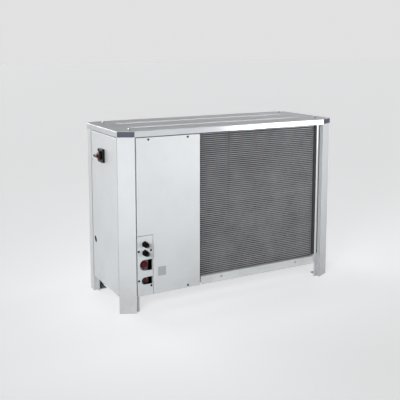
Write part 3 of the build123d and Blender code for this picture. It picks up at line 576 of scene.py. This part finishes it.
def top_cover():
    """Pressed cover: two raised ribs, a soft bend and a lip on each straight side."""
    bm = bmesh.new()
    x, y, cx, cy = COVER_X, COVER_Y, CHAMFER_X, CHAMFER_Y
    polygon(bm, [(x, cy - y), (x, y - cy), (x - cx, y), (cx - x, y),
                 (-x, y - cy), (-x, cy - y), (cx - x, -y), (x - cx, -y)])
    place(bm, at(0, 0, COVER_TOP))
    cuts = [((side * RIB_HALF_LENGTH, 0, 0), (1, 0, 0)) for side in (-1, 1)]
    cuts += [((0, side * RIB_Y + edge * RIB_WIDTH / 2, 0), (0, 1, 0))
             for side in (-1, 1) for edge in (-1, 1)]
    for point, normal in cuts:
        bmesh.ops.bisect_plane(bm, geom=everything(bm), plane_co=point, plane_no=normal)
    straight = [edge for edge in bm.edges if edge.is_boundary
                and (abs(edge.verts[0].co.x - edge.verts[1].co.x) < 0.1
                     or abs(edge.verts[0].co.y - edge.verts[1].co.y) < 0.1)]
    ribs = [face for face in bm.faces if abs(face.calc_center_median().x) < RIB_HALF_LENGTH
            and abs(abs(face.calc_center_median().y) - RIB_Y) < RIB_WIDTH / 2]
    bmesh.ops.recalc_face_normals(bm, faces=bm.faces)
    face_along(bm, bm.faces[0], (0, 0, 1))
    pull(bm, straight, (0, 0, LIP_BOTTOM - COVER_TOP), faces=False)
    for rib in ribs:
        bmesh.ops.inset_region(bm, faces=[rib], thickness=RIB_SLOPE, depth=RIB_RISE, use_even_offset=True)
    raised = dict.fromkeys(edge for rib in ribs for vert in rib.verts for edge in vert.link_edges)
    soften(bm, raised, RIB_BEND, 2)
    soften(bm, [edge for edge in straight if edge.is_valid], LIP_BEND, 4)
    return piece("cover_sheet", bm, "cover_paint", replaces=["top_cover"], sheet=COVER_SHEET)


def corner_caps():
    """Moulded caps in the cover's cut corners."""
    bm = bmesh.new()
    low, high = LIP_BOTTOM + 0.6, POST_TOP - 0.1
    left, front = COVER_X - CHAMFER_X, COVER_Y - CHAMFER_Y
    right, back = COVER_X - CAP_GAP, COVER_Y - CAP_GAP
    inset = CAP_WALL * CHAMFER_X / CHAMFER_Y
    face = polygon(bm, [(left, back), (right, front), (right, front - CAP_WALL), (left - inset, back)])
    place(bm, at(0, 0, low))
    pull(bm, [face], (0, 0, high - low))
    bmesh.ops.recalc_face_normals(bm, faces=bm.faces)
    soften(bm, bm.edges[:], 0.5)
    return piece("corner_cap_mouldings", mirror_corners(bm), "cap_plastic", replaces=["corner_caps"])


def cover_bolts():
    """Hexagon bolts with washers through the cover."""
    reach = box_mm("cover_bolts")[1]
    radius, seat, head = 8.0, COVER_TOP, COVER_TOP + 1.4
    washer = lathe([(0, seat), (radius - 0.2, seat), (radius, seat + 0.5), (radius - 0.6, head), (0, head)])
    bolt = merged(washer, prism(6, 10, head, reach.z, 0.5))
    place(bolt, at(reach.x - radius / cos(pi / 6), reach.y - radius))
    return piece("cover_bolt_heads", mirror_corners(bolt), "zinc", replaces=["cover_bolts"], smooth=40)


# ---------------------------------------------------------------- posts and panels
def corner_post(node, land, mirror_x, mirror_y, cuts=()):
    """Folded corner post with rounded bends, from the floor to the cover."""
    bm = bmesh.new()
    inner_x, side_y = BODY_X - CHAMFER_X, BODY_Y - CHAMFER_Y
    edges = chain(bm, [
        (inner_x - FLANGE, BODY_Y - REBATE), (inner_x, BODY_Y - REBATE), (inner_x, BODY_Y), (BODY_X, side_y),
        (BODY_X, side_y - land), (BODY_X - REBATE, side_y - land), (BODY_X - REBATE, side_y - land - FLANGE)])
    made = pull(bm, edges, (0, 0, POST_TOP), faces=False)
    soften(bm, inner(running(only(made, bmesh.types.BMEdge), 2)), BEND, 3)
    chamfer = max(bm.faces, key=lambda face: face.calc_center_median().x + face.calc_center_median().y)
    face_along(bm, chamfer, (1, 0, 0))
    place(bm, Matrix.Diagonal((mirror_x, mirror_y, 1, 1)))
    if mirror_x * mirror_y < 0:
        bmesh.ops.reverse_faces(bm, faces=bm.faces)
    return piece(node + "_sheet", bm, "casing_paint", replaces=[node], sheet=POST_SHEET, cuts=cuts)


def groove_shade_seals():
    """Rubber beads sunk in the grooves between the side panels and the posts; their black stands in for the
    grooves' shade.
    """
    beads = []
    for node, sign in (("left_side_panel", -1), ("right_side_panel", 1)):
        low, high = box_mm(node)
        front, rear = CHAMFER_Y + FRONT_LAND - BODY_Y, BODY_Y - CHAMFER_Y - REAR_LAND
        low_x, high_x = sorted((sign * (BODY_X - 6), sign * (BODY_X - 0.8)))
        for start, end in ((front, low.y), (high.y, rear)):
            beads.append(block((low_x, start + 0.1, low.z + 2), (high_x, end - 0.1, high.z - 2), 0.8, 2))
    return piece("groove_shade_beads", merged(*beads), "rubber")


def air_gap():
    """Cutter for the long gap beside the fold of the front right post."""
    fold, back = BODY_X - CHAMFER_X, REBATE - BODY_Y
    bottom, top = 128, POST_TOP - 33
    return block((fold - 9, back - 5, bottom), (fold - 2.5, back + 5, top))


def folded_panel(plane, outline):
    """Panel skin with an edge folded inwards all round and soft outer bends."""
    bm = bmesh.new()
    face = polygon(bm, outline)
    face_along(bm, face, (0, 0, 1))
    rim = list(face.edges)
    pull(bm, rim, (0, 0, -PANEL_DEPTH), faces=False)
    soften(bm, rim, BEND, 3)
    bmesh.ops.recalc_face_normals(bm, faces=bm.faces)
    face_along(bm, max(bm.faces, key=lambda item: item.calc_area()), (0, 0, 1))
    return place(bm, plane)


def outline_of(node, plane):
    """Corner points of a panel's box on its work plane."""
    inverse = plane.inverted()
    (ax, ay, _), (bx, by, _) = (inverse @ corner for corner in box_mm(node))
    low_x, high_x = sorted((ax, bx))
    low_y, high_y = sorted((ay, by))
    return [(low_x, low_y), (high_x, low_y), (high_x, high_y), (low_x, high_y)]


def plain_panel(node, plane, name, cuts=()):
    """Rectangular folded panel in place of its CAD node."""
    return piece(name, folded_panel(plane, outline_of(node, plane)), "casing_paint", replaces=[node],
                 sheet=PANEL_SHEET, cuts=cuts)


def service_panel():
    """Front left panel, cut back at its lower corner for the connection plate."""
    low, high = box_mm("service_panel")
    plate = box_mm("connection_plate")[1]
    step_x, step_z = plate.x + SEAM, plate.z + SEAM
    outline = [(low.x, step_z), (step_x, step_z), (step_x, low.z), (high.x, low.z),
               (high.x, high.z), (low.x, high.z)]
    return piece("service_panel_sheet", folded_panel(FRONT, outline), "casing_paint",
                 replaces=["service_panel"], sheet=PANEL_SHEET)


GLAND_X = sum(corner.x for corner in box_mm("cable_glands")) / 2
GLAND_HEIGHTS = (326.0, 285.0)
# Suction and liquid connection: place, radius of the slot, and radii of the cap's stem and flange.
PORTS = [(-487.0, 226.0, 26.0, 14.0, 18.0), (-487.0, 151.0, 17.5, 9.0, 12.5)]
CABLE_SLOT_Y, CABLE_SLOT_Z, CABLE_SLOT_TILT = 108, 281, 38
FAN_OPENING, BELL_OPENING, BELL_BEND = 256.0, 254.0, 16.0
RAIL_END, RAIL_SHEET, RAIL_CORNER = 489.0, 1.5, 8


def connection_plate():
    """Plate round the glands, without a right fold and with two slots open towards the service panel."""
    right, _, top = box_mm("connection_plate")[1]
    fold = block((right - PANEL_SHEET - 0.6, PANEL_SHEET - BODY_Y + 0.02, 0), (right + 1, 0, top + 1))
    cuts = [fold]
    for x, z, radius, _, _ in PORTS:
        hole = prism(48, 2 * radius, -30, 10)
        way = block((0, -radius, -30), (right - x + 5, radius, 10))
        cuts += [place(hole, FRONT, at(x, z)), place(way, FRONT, at(x, z))]
    return plain_panel("connection_plate", FRONT, "connection_plate_sheet", cuts)


def left_side_panel():
    """Left panel with its slanted cable slot, closed by a rubber grommet."""
    spot = LEFT @ at(-CABLE_SLOT_Y, CABLE_SLOT_Z) @ turn(CABLE_SLOT_TILT)
    slot = rounded_bar((14, 30), 6.8, -30, 10)
    grommet = rounded_bar((19, 32), 9.0, -1.5, 1.4)
    top = outermost(grommet)
    bmesh.ops.inset_individual(grommet, faces=[top], thickness=3.0, depth=0.0)
    bmesh.ops.inset_individual(grommet, faces=[top], thickness=0.8, depth=-1.8)
    piece("slot_grommet", place(grommet, spot), "rubber", smooth=40)
    place(slot, spot)
    return plain_panel("left_side_panel", LEFT, "left_panel_sheet", [slot])


def fan_panel():
    """Rear panel with its round fan opening."""
    hole = place(prism(96, 2 * FAN_OPENING, -10, 10), REAR, at(-FAN_X, FAN_Z))
    return plain_panel("fan_panel", REAR, "fan_panel_sheet", [hole])


def front_rail():
    """Rail below the coil: ledge, face, rolled hem, rounded lower corner and a lapped right end."""
    low, high = box_mm("front_rail")
    front, hem, lap = -BODY_Y, low.z + 11, REBATE - 2 - BODY_Y
    section = [(high.y, high.z), (front, high.z), (front, hem), (low.y, hem - 1), (low.y, low.z),
               (front + 3, low.z)]
    rail, tongue = bmesh.new(), bmesh.new()
    pull(rail, chain(rail, [(low.x, y, z) for y, z in section]), (RAIL_END - low.x, 0, 0), faces=False)
    soften(rail, inner(rail.edges), 0.8, 2)
    outline = [(RAIL_END, front, hem - 1), (RAIL_END, lap, hem - 1), (high.x, lap, hem - 1)]
    pull(tongue, chain(tongue, outline), (0, 0, high.z - hem + 1), faces=False)
    for part in (rail, tongue):
        bmesh.ops.recalc_face_normals(part, faces=part.faces)
        face_along(part, min(part.faces, key=lambda face: face.calc_center_median().y), (0, -1, 0))
    corner = block((low.x - RAIL_CORNER, low.y - 5, low.z - RAIL_CORNER),
                   (low.x + RAIL_CORNER, front + 30, low.z + RAIL_CORNER))
    keep = place(prism(32, 2 * RAIL_CORNER, -40, 40),
                 at(low.x + RAIL_CORNER, front, low.z + RAIL_CORNER), turn(90, "X"))
    return piece("front_rail_sheet", merged(rail, tongue), "casing_paint", replaces=["front_rail"],
                 sheet=RAIL_SHEET, cuts=[take_from(corner, keep)])


# ---------------------------------------------------------------- fasteners
def screw_head():
    """Pan head with a round driver recess."""
    return lathe([(0, 1.2), (1.5, 1.2), (1.8, 2.3), (3.6, 2.2), (4.9, 1.5), (5.4, 0.5), (5.4, 0.0)], 12)


def screw_places(node):
    """Lowest and highest corner of each separate head of a screw node."""
    bm = bmesh.new()
    bm.from_mesh(frame["nodes"][node].data)
    bmesh.ops.remove_doubles(bm, verts=bm.verts, dist=1e-5)
    places, left = [], set(bm.verts)
    while left:
        open_ends = [left.pop()]
        island = list(open_ends)
        while open_ends:
            for edge in open_ends.pop().link_edges:
                for vert in edge.verts:
                    if vert in left:
                        left.remove(vert)
                        open_ends.append(vert)
                        island.append(vert)
        low = Vector([min(vert.co[axis] for vert in island) for axis in range(3)]) / MM
        high = Vector([max(vert.co[axis] for vert in island) for axis in range(3)]) / MM
        places.append((low, high))
    bm.free()
    return sorted(places, key=lambda item: tuple(round(value) for value in item[0]))


def screw_set(node, name, slot, apart=None):
    """Detailed heads at every place of a CAD screw node; those to the right of apart are zinc-plated."""
    planes = {(1, True): REAR, (1, False): FRONT, (0, True): RIGHT, (0, False): LEFT}
    matrices = []
    for low, high in screw_places(node):
        middle, size = (low + high) / 2, high - low
        axis = min(range(3), key=lambda index: size[index])
        plane = planes[(axis, middle[axis] > 0)]
        base = plane.copy()
        base.translation = middle - plane.to_3x3() @ Vector((0, 0, size[axis] / 2))
        matrices.append(base)
    if apart is not None:
        plated = [base for base in matrices if base.translation.x > apart]
        matrices = [base for base in matrices if base.translation.x <= apart]
        piece("rail_screw_heads", copies(screw_head(), plated), "zinc", smooth=40)
    return piece(name, copies(screw_head(), matrices), slot, replaces=[node], smooth=40)


# ---------------------------------------------------------------- condenser coil
TUBE_PITCH, TUBE_COUNT, FIRST_TUBE, TUBE_HEIGHT = 9.8, 75, 98.0, 2.0
COIL_LEFT, COIL_RIGHT = -200.0, 494.0
COIL_FRONT, COIL_DEPTH = -206.0, 22.0
COIL_MIDDLE = COIL_FRONT + COIL_DEPTH / 2
HEADER_RADIUS, HEADER_REACH = 12, 11
FIN_PITCH, FIN_LENGTH = 2.6, COIL_RIGHT - COIL_LEFT - 8


def rows(bm, count):
    """Repeats the shape upwards at the tube pitch."""
    bmesh.ops.spin(bm, geom=everything(bm), axis=(0, 0, 1), cent=(0, 0, 0), angle=0,
                   dvec=(0, 0, TUBE_PITCH), steps=count - 1, use_duplicate=True)


def coil_tubes():
    """Flat tubes with rounded noses, and a round header at each end."""
    tube = block((COIL_LEFT - 1, COIL_FRONT, -TUBE_HEIGHT / 2),
                 (COIL_RIGHT + 1, COIL_FRONT + COIL_DEPTH, TUBE_HEIGHT / 2))
    soften(tube, running(tube.edges, 0), 0.8, 2)
    place(tube, at(0, 0, FIRST_TUBE))
    rows(tube, TUBE_COUNT)
    low, high = FIRST_TUBE - HEADER_REACH, FIRST_TUBE + TUBE_PITCH * (TUBE_COUNT - 1) + HEADER_REACH
    radius, edge = HEADER_RADIUS, 3
    profile = [(0, low), (radius - edge, low), (radius, low + edge), (radius, high - edge),
               (radius - edge, high), (0, high)]
    headers = [place(lathe(profile, 24), at(x, COIL_MIDDLE))
               for x in (COIL_LEFT - radius, COIL_RIGHT + radius)]
    return piece("coil_tubes_and_headers", merged(tube, *headers), "coil_aluminium",
                 replaces=["condenser_coil"], smooth=40)


def coil_fins():
    """Corrugated fin strips between the tubes, made as one folded grid and repeated."""
    folds = 2 * round(FIN_LENGTH / FIN_PITCH)
    bm = bmesh.new()
    bmesh.ops.create_grid(bm, x_segments=folds, y_segments=1, size=1.0)
    height = TUBE_PITCH - TUBE_HEIGHT
    for vert in bm.verts:
        fold = round((vert.co.x + 1) / 2 * folds)
        vert.co.z = height if fold % 2 else 0.0
    place(bm, at((COIL_LEFT + COIL_RIGHT) / 2 - 1, COIL_MIDDLE, FIRST_TUBE + TUBE_HEIGHT / 2),
          Matrix.Diagonal((FIN_LENGTH / 2, COIL_DEPTH / 2 - 0.5, 1, 1)))
    rows(bm, TUBE_COUNT - 1)
    return piece("coil_fin_strips", bm, "coil_aluminium", replaces=["condenser_fins"], material=SHADED_FIN_STRIP)


# ---------------------------------------------------------------- fan
GUARD_RADIUS, GUARD_BOSS, GUARD_RINGS, GUARD_SPOKES, GUARD_EYES = 276.0, 34.0, 18, 6, 4
THICK_WIRE, THIN_WIRE, SPOKE_RADIUS, SPOKE_HEIGHT = 4.0, 2.6, 1.9, 2.7


def ring_wire(radius, wire):
    """Closed round wire ring about Z."""
    bm = bmesh.new()
    bmesh.ops.create_circle(bm, segments=6, radius=wire / 2)
    place(bm, at(radius, 0), turn(90, "X"))
    return full_turn(bm, bm.verts[:] + bm.edges[:], 64)


def rod(radius, start, end):
    """Straight wire between two points."""
    start, end = Vector(start), Vector(end)
    bm = bmesh.new()
    bmesh.ops.create_cone(bm, cap_ends=True, segments=8, radius1=radius, radius2=radius,
                          depth=(end - start).length)
    turned = (end - start).to_track_quat("Z", "Y").to_matrix().to_4x4()
    return place(bm, Matrix.Translation((start + end) / 2), turned)


def fan_guard():
    """Round-wire guard: close rings on spokes, a pressed boss and fixing eyes."""
    parts = []
    end = GUARD_RADIUS - THICK_WIRE / 2
    step = (end - GUARD_BOSS) / GUARD_RINGS
    for index in range(1, GUARD_RINGS + 1):
        wire, height = (THICK_WIRE, 5.6) if index in (GUARD_RINGS, GUARD_RINGS // 2) else (THIN_WIRE, 5.9)
        parts.append(place(ring_wire(GUARD_BOSS + step * index, wire), at(0, 0, height)))
    for index in range(GUARD_SPOKES):
        spoke = rod(SPOKE_RADIUS, (GUARD_BOSS - 6, 0, SPOKE_HEIGHT), (end, 0, SPOKE_HEIGHT))
        parts.append(place(spoke, turn(90 + 360 / GUARD_SPOKES * index)))
    parts.append(lathe([(0, 3.4), (GUARD_BOSS - 10, 3.6), (GUARD_BOSS - 6, 5.0), (GUARD_BOSS - 2, 5.0),
                        (GUARD_BOSS, 4.0), (GUARD_BOSS, 1.2), (0, 1.2)], 48))
    for index in range(GUARD_EYES):
        eye = block((GUARD_RADIUS - 4, -8, 0.4), (GUARD_RADIUS + 16, 8, 4.4), 1.2)
        parts.append(place(eye, turn(45 + 360 / GUARD_EYES * index)))
    bm = place(merged(*parts), REAR, at(-FAN_X, FAN_Z))
    return piece("fan_guard_wires", bm, "black_paint", replaces=["fan_guard"], smooth=40)


def fan_bellmouth():
    """Spun inlet ring with a rolled mouth."""
    opening, bell, seat = BELL_OPENING, BELL_BEND, -PANEL_SHEET - 0.1
    end = BODY_Y - box_mm("fan_bellmouth")[0].y
    throat = [(opening + bell, seat), (opening + 3, seat), (opening, -3.5)]
    mouth = [(opening + bell * (1 - cos(radians(angle))), -end + bell * (1 - sin(radians(angle))))
             for angle in (0, 20, 40, 60, 80)]
    bm = lathe(throat + mouth, 96)
    inward = min(bm.faces, key=lambda face: face.calc_center_median().xy.length)
    face_along(bm, inward, (*-inward.calc_center_median().xy, 0))
    return piece("bellmouth_ring", place(bm, REAR, at(-FAN_X, FAN_Z)), "casing_paint",
                 replaces=["fan_bellmouth"], smooth=50, sheet=PANEL_SHEET)


HUB_RADIUS, HUB_FRONT, HUB_REAR, HUB_RIBS = 75.0, 162.0, 222.0, 6
FAN_RADIUS, BLADES, BLADE_THICKNESS, BLADE_BOW, BLADE_SWEEP = 248.0, 5, 3.0, 10, 14
ROOT_CHORD, TIP_CHORD, ROOT_PITCH, TIP_PITCH, TIP_START = 96, 146, 34, 19, 0.85


def fan_blade():
    """Cambered blade, twisted from root to tip and swept forward."""
    bm = bmesh.new()
    bmesh.ops.create_grid(bm, x_segments=12, y_segments=12, size=0.5)
    middle = (HUB_FRONT + HUB_REAR) / 2
    for vert in bm.verts:
        span, across = vert.co.x + 0.5, vert.co.y
        radius = HUB_RADIUS - 2 + (FAN_RADIUS - HUB_RADIUS + 2) * span
        chord = ROOT_CHORD + (TIP_CHORD - ROOT_CHORD) * span
        pitch = radians(ROOT_PITCH - (ROOT_PITCH - TIP_PITCH) * span)
        tip = max(0.0, span - TIP_START) / (1 - TIP_START)
        reach = across * chord * (1 - 0.5 * tip * abs(across))
        bow = BLADE_BOW * (1 - (2 * across) ** 2)
        around = (reach * cos(pitch) - BLADE_SWEEP * span * span) / radius
        depth = middle - reach * sin(pitch) - bow * cos(pitch)
        vert.co = (radius * cos(around), depth, radius * sin(around))
    bmesh.ops.recalc_face_normals(bm, faces=bm.faces)
    bmesh.ops.solidify(bm, geom=bm.faces[:], thickness=BLADE_THICKNESS)
    bmesh.ops.recalc_face_normals(bm, faces=bm.faces)
    soften(bm, sharp_edges(bm, 60), 1.0, 2)
    return bm


def fan_impeller():
    """Moulded hub with ribs inside it and blades round it."""
    rim, depth = HUB_RADIUS, HUB_REAR - HUB_FRONT
    bore, sleeve = 6.2, 16
    profile = [(rim - 5, 0), (rim, 0), (rim, depth - 8), (rim - 3, depth - 2), (rim - 8, depth), (30, depth),
               (24, depth - 3), (18, depth - 3), (sleeve, depth), (7, depth), (bore, depth - 1), (bore, 0),
               (sleeve, 0), (sleeve, depth - 8), (rim - 5, depth - 8), (rim - 5, 0)]
    hub = place(lathe(profile, 48), at(0, HUB_FRONT, 0), turn(-90, "X"))
    rib = block((sleeve - 0.5, HUB_FRONT + 6, -1.5), (rim - 4.5, HUB_REAR - 7, 1.5))
    ribs = copies(rib, [turn(360 / HUB_RIBS * index, "Y") for index in range(HUB_RIBS)])
    blades = copies(fan_blade(), [turn(360 / BLADES * index, "Y") for index in range(BLADES)])
    bm = place(merged(hub, ribs, blades), at(FAN_X, 0, FAN_Z))
    return piece("fan_wheel", bm, "fan_plastic", body="fan", replaces=["fan_impeller"], smooth=40)


# ---------------------------------------------------------------- service side pieces
def cable_glands():
    """Cable glands: hexagon, ribbed dome nut and rubber seal."""
    places = [FRONT @ at(GLAND_X, z) for z in GLAND_HEIGHTS]
    hexagon = prism(6, 27, 0, 6.5, 0.8)
    neck = lathe([(0, 6.0), (11.6, 6.0), (11.6, 8.2), (0, 8.2)], 36)
    radius = 12.0
    nut = lathe([(6.5, 33), (8.6, 33), (10.2, 31.5), (11.6, 25), (radius, 22), (radius, 8), (6.5, 8),
                 (6.5, 33)], 48)
    grips = []
    for face in nut.faces:
        middle = face.calc_center_median()
        if abs(middle.xy.length - radius) < 0.3 and 10 < middle.z < 21:
            step = round(24 * (middle.xy.angle_signed(Vector((1, 0))) / pi))
            if step % 4 < 2:
                grips.append(face)
    bmesh.ops.inset_individual(nut, faces=grips, thickness=0.1, depth=0.8, use_even_offset=True)
    seal = lathe([(5.0, 30.5), (6.6, 32.0), (6.6, 10), (5.0, 10), (5.0, 30.5)], 24)
    piece("gland_seals", copies(seal, places), "rubber", smooth=40)
    return piece("gland_bodies", copies(merged(hexagon, neck, nut), places), "black_plastic",
                 replaces=["cable_glands"], smooth=35, material=GLAND_NYLON)


def pipe_caps():
    """Moulded transit caps with a flange and a finger rim."""
    caps = []
    for x, z, _, stem, flange in PORTS:
        profile = [(stem - 3, -40), (stem, -40), (stem, -18), (flange - 0.8, -18), (flange, -17.2),
                   (flange, -14.8), (flange - 0.8, -14), (stem, -14), (stem, -8.5), (stem - 1.2, -7.2),
                   (stem - 3, -7.2), (stem - 3.6, -8.2), (0, -8.2)]
        caps.append(place(lathe(profile, 40), FRONT, at(x, z)))
    return piece("transit_caps", merged(*caps), "red_plastic", replaces=["pipe_caps"], smooth=40)


def isolator():
    """Rotary isolator: square front plate with a sunk field, and a bar-grip knob."""
    low, high = box_mm("isolator_plate")
    half, depth, sunk = (high.z - low.z) / 2, -low.x - BODY_X, 1.6
    spot = LEFT @ at(-(low.y + high.y) / 2, (low.z + high.z) / 2)
    plate = rounded_bar((2 * half, 2 * half), 7.0, 0, depth)
    soften(plate, outermost(plate).edges[:], 1.5, 3)
    field = outermost(plate)
    bmesh.ops.inset_individual(plate, faces=[field], thickness=4.0, depth=0.0)
    bmesh.ops.inset_individual(plate, faces=[field], thickness=0.8, depth=-sunk)
    head = lathe([(0, 1.0), (1.2, 1.0), (1.5, 1.8), (3.0, 1.6), (3.4, 0.9), (3.4, 0)], 12)
    reach = half - 11
    screws = copies(head, [at(x, y, depth - sunk) for x in (-reach, reach) for y in (-reach, reach)])
    piece("isolator_front_plate", place(merged(plate, screws), spot), "black_plastic",
          replaces=["isolator_plate"])

    end = -box_mm("isolator_knob")[0].x - BODY_X
    base = lathe([(0, end - 16), (19, end - 16), (21.4, end - 18), (22, depth + 2), (21.6, depth + 0.4),
                  (0, depth + 0.4)], 48)
    grip = block((-21, -6.0, end - 17), (21, 6.0, end))
    soften(grip, running(grip.edges, 2), 5.0, 4)
    rim = [edge for edge in sharp_edges(grip, 60) if min(vert.co.z for vert in edge.verts) > end - 1]
    soften(grip, rim, 1.2, 2)
    mark = block((14, -1.0, end - 0.6), (21, 1.0, end - 0.05), 0.2, 1)
    piece("isolator_pointer", place(mark, spot), "casing_paint", body="isolator")
    piece("isolator_collar", place(base, spot), "black_plastic", body="isolator", smooth=40)
    return piece("isolator_grip", place(grip, spot), "red_plastic", body="isolator",
                 replaces=["isolator_knob"], smooth=40)


BADGE_X, BADGE_Z, BADGE_WIDTH, BADGE_HEIGHT, BADGE_SHEET = -401, 186, 41, 44, 0.8


def bare_badge():
    """Bare plate in the place of a badge, low on the service panel."""
    x, y = BADGE_WIDTH / 2, BADGE_HEIGHT / 2
    plate = block((-x, -y, 0), (x, y, BADGE_SHEET), 0.3, 1)
    return piece("bare_plate", place(plate, FRONT, at(BADGE_X, BADGE_Z)), "control_plastic",
                 material=PLATE_FOIL)


top_cover()
corner_caps()
cover_bolts()
corner_post("post_front_left", FRONT_LAND, -1, -1)
corner_post("post_front_right", FRONT_LAND, 1, -1, [air_gap()])
corner_post("post_rear_left", REAR_LAND, -1, 1)
corner_post("post_rear_right", REAR_LAND, 1, 1)
service_panel()
connection_plate()
left_side_panel()
plain_panel("right_side_panel", RIGHT, "right_panel_sheet")
groove_shade_seals()
plain_panel("rear_service_panel", REAR, "rear_panel_sheet")
fan_panel()
front_rail()
screw_set("panel_screws", "black_screw_heads", "black_plastic", apart=COIL_LEFT)
screw_set("casing_screws", "plated_screw_heads", "zinc")
coil_tubes()
coil_fins()
fan_guard()
fan_bellmouth()
fan_impeller()
cable_glands()
pipe_caps()
isolator()
bare_badge()


# ---------------------------------------------------------------- floor, light and camera
FLOOR_GREY, FLOOR_LIFT, BACKDROP = linear(202, 203, 206), 0.565, 0.755
SKY_TINT, HORIZON_LIGHT, ZENITH_LIGHT = (0.97, 0.985, 1.0, 1.0), 0.38, 0.03
CAMERA_PLACE, CAMERA_DOWN, CAMERA_HEADING = (-1.7178, -3.0132, 1.2343), 7.99, -28.648
CAMERA_LENS, CAMERA_SHIFT = 61.35, -0.15
# Name, place, strength and spread in degrees; each points at the origin.
SOFT_SUNS = [("left_sun", (-4.2, -3.7, 1.5), 0.8, 35), ("rear_sun", (-2.0, 4.6, 0.9), 1.6, 35),
             ("right_sun", (4.6, 0.8, 0.9), 0.1, 35)]
# Name, place, size, power, the point it is aimed at, and spread in degrees.
SOFT_BOXES = [("key_box", (-2.05, -1.8, 1.25), (1.0, 0.6), 3.1, (-0.45, -0.2, 0.57), 50),
              ("side_strip", (2.75, -3.5, 0.4), (1.3, 0.35), 5.9, (0.35, -0.2, 1.0), 40),
              ("near_rib_strip", (0.885, 0.179, 2.4), (1.5, 0.08), 2.8, (0.885, 0.0, 0.85), 150),
              ("far_rib_strip", (0.885, 0.369, 2.4), (1.5, 0.08), 2.8, (0.885, 0.1, 0.85), 150)]


def seen_directly(graph):
    """One for camera rays and for rays off gloss or through glass, else zero."""
    ray = graph.add("ShaderNodeLightPath").outputs
    most = graph.math("MAXIMUM", ray["Is Camera Ray"], ray["Is Glossy Ray"])
    return graph.math("MAXIMUM", most, ray["Is Transmission Ray"])


def pale_floor():
    """Wide pale floor, lifted by a glow where it is seen, which still takes the shadow."""
    bm = bmesh.new()
    bmesh.ops.create_grid(bm, x_segments=1, y_segments=1, size=40.0)
    floor = scene_object("floor", bm)
    material, g, shader, _ = start_material("floor_paper")
    shader.inputs["Base Color"].default_value = FLOOR_GREY
    shader.inputs["Roughness"].default_value = 0.95
    shader.inputs["Specular IOR Level"].default_value = 0.1
    shader.inputs["Emission Color"].default_value = (1.0, 1.0, 1.0, 1.0)
    g.put(shader.inputs["Emission Strength"], g.math("MULTIPLY", seen_directly(g), FLOOR_LIFT))
    floor.data.materials.append(material)


def soft_sky():
    """World light, brightest at the horizon, and a plain pale backdrop where it is seen itself."""
    world = bpy.data.worlds.new("studio")
    bpy.context.scene.world = world
    world.use_nodes = True
    tree = Graph(world.node_tree)
    light = world.node_tree.nodes["Background"]
    light.inputs["Color"].default_value = SKY_TINT
    way = tree.add("ShaderNodeTexCoord").outputs["Generated"]
    up = tree.add("ShaderNodeSeparateXYZ", Vector=way).outputs["Z"]
    tree.put(light.inputs["Strength"], tree.ramp(up, 0.0, 0.7, HORIZON_LIGHT, ZENITH_LIGHT))
    shown = tree.add("ShaderNodeBackground", Color=(BACKDROP, BACKDROP, BACKDROP, 1.0), Strength=1.0)
    blend = tree.add("ShaderNodeMixShader")
    tree.put(blend.inputs[0], seen_directly(tree))
    tree.put(blend.inputs[1], light.outputs[0])
    tree.put(blend.inputs[2], shown.outputs[0])
    tree.put(world.node_tree.nodes["World Output"].inputs["Surface"], blend.outputs[0])


def lamp_object(name, data, spot, target):
    """Places a lamp and aims it at a point."""
    lamp = bpy.data.objects.new(name, data)
    lamp.location = spot
    lamp.rotation_euler = (Vector(target) - Vector(spot)).to_track_quat("-Z", "Y").to_euler()
    bpy.context.scene.collection.objects.link(lamp)
    return lamp


def soft_lamps():
    """Wide suns, and soft boxes that the camera doesn't see."""
    for name, spot, strength, spread in SOFT_SUNS:
        data = bpy.data.lights.new(name, "SUN")
        data.energy, data.angle = strength, radians(spread)
        lamp_object(name, data, spot, (0, 0, 0))
    for name, spot, size, power, target, spread in SOFT_BOXES:
        data = bpy.data.lights.new(name, "AREA")
        data.shape, data.energy = "RECTANGLE", power
        data.size, data.size_y = size
        data.spread = radians(spread)
        lamp_object(name, data, spot, target).visible_camera = False


def camera_view():
    """Camera at the front left, higher than the cover and looking down a little."""
    data = bpy.data.cameras.new("camera")
    data.sensor_width = 36.0
    data.lens, data.shift_y = CAMERA_LENS, CAMERA_SHIFT
    camera = bpy.data.objects.new("camera", data)
    camera.location = CAMERA_PLACE
    camera.rotation_euler = (radians(90 - CAMERA_DOWN), 0, radians(CAMERA_HEADING))
    bpy.context.scene.collection.objects.link(camera)
    bpy.context.scene.camera = camera
    bpy.context.scene.view_settings.view_transform = "Standard"


pale_floor()
soft_sky()
soft_lamps()
camera_view()
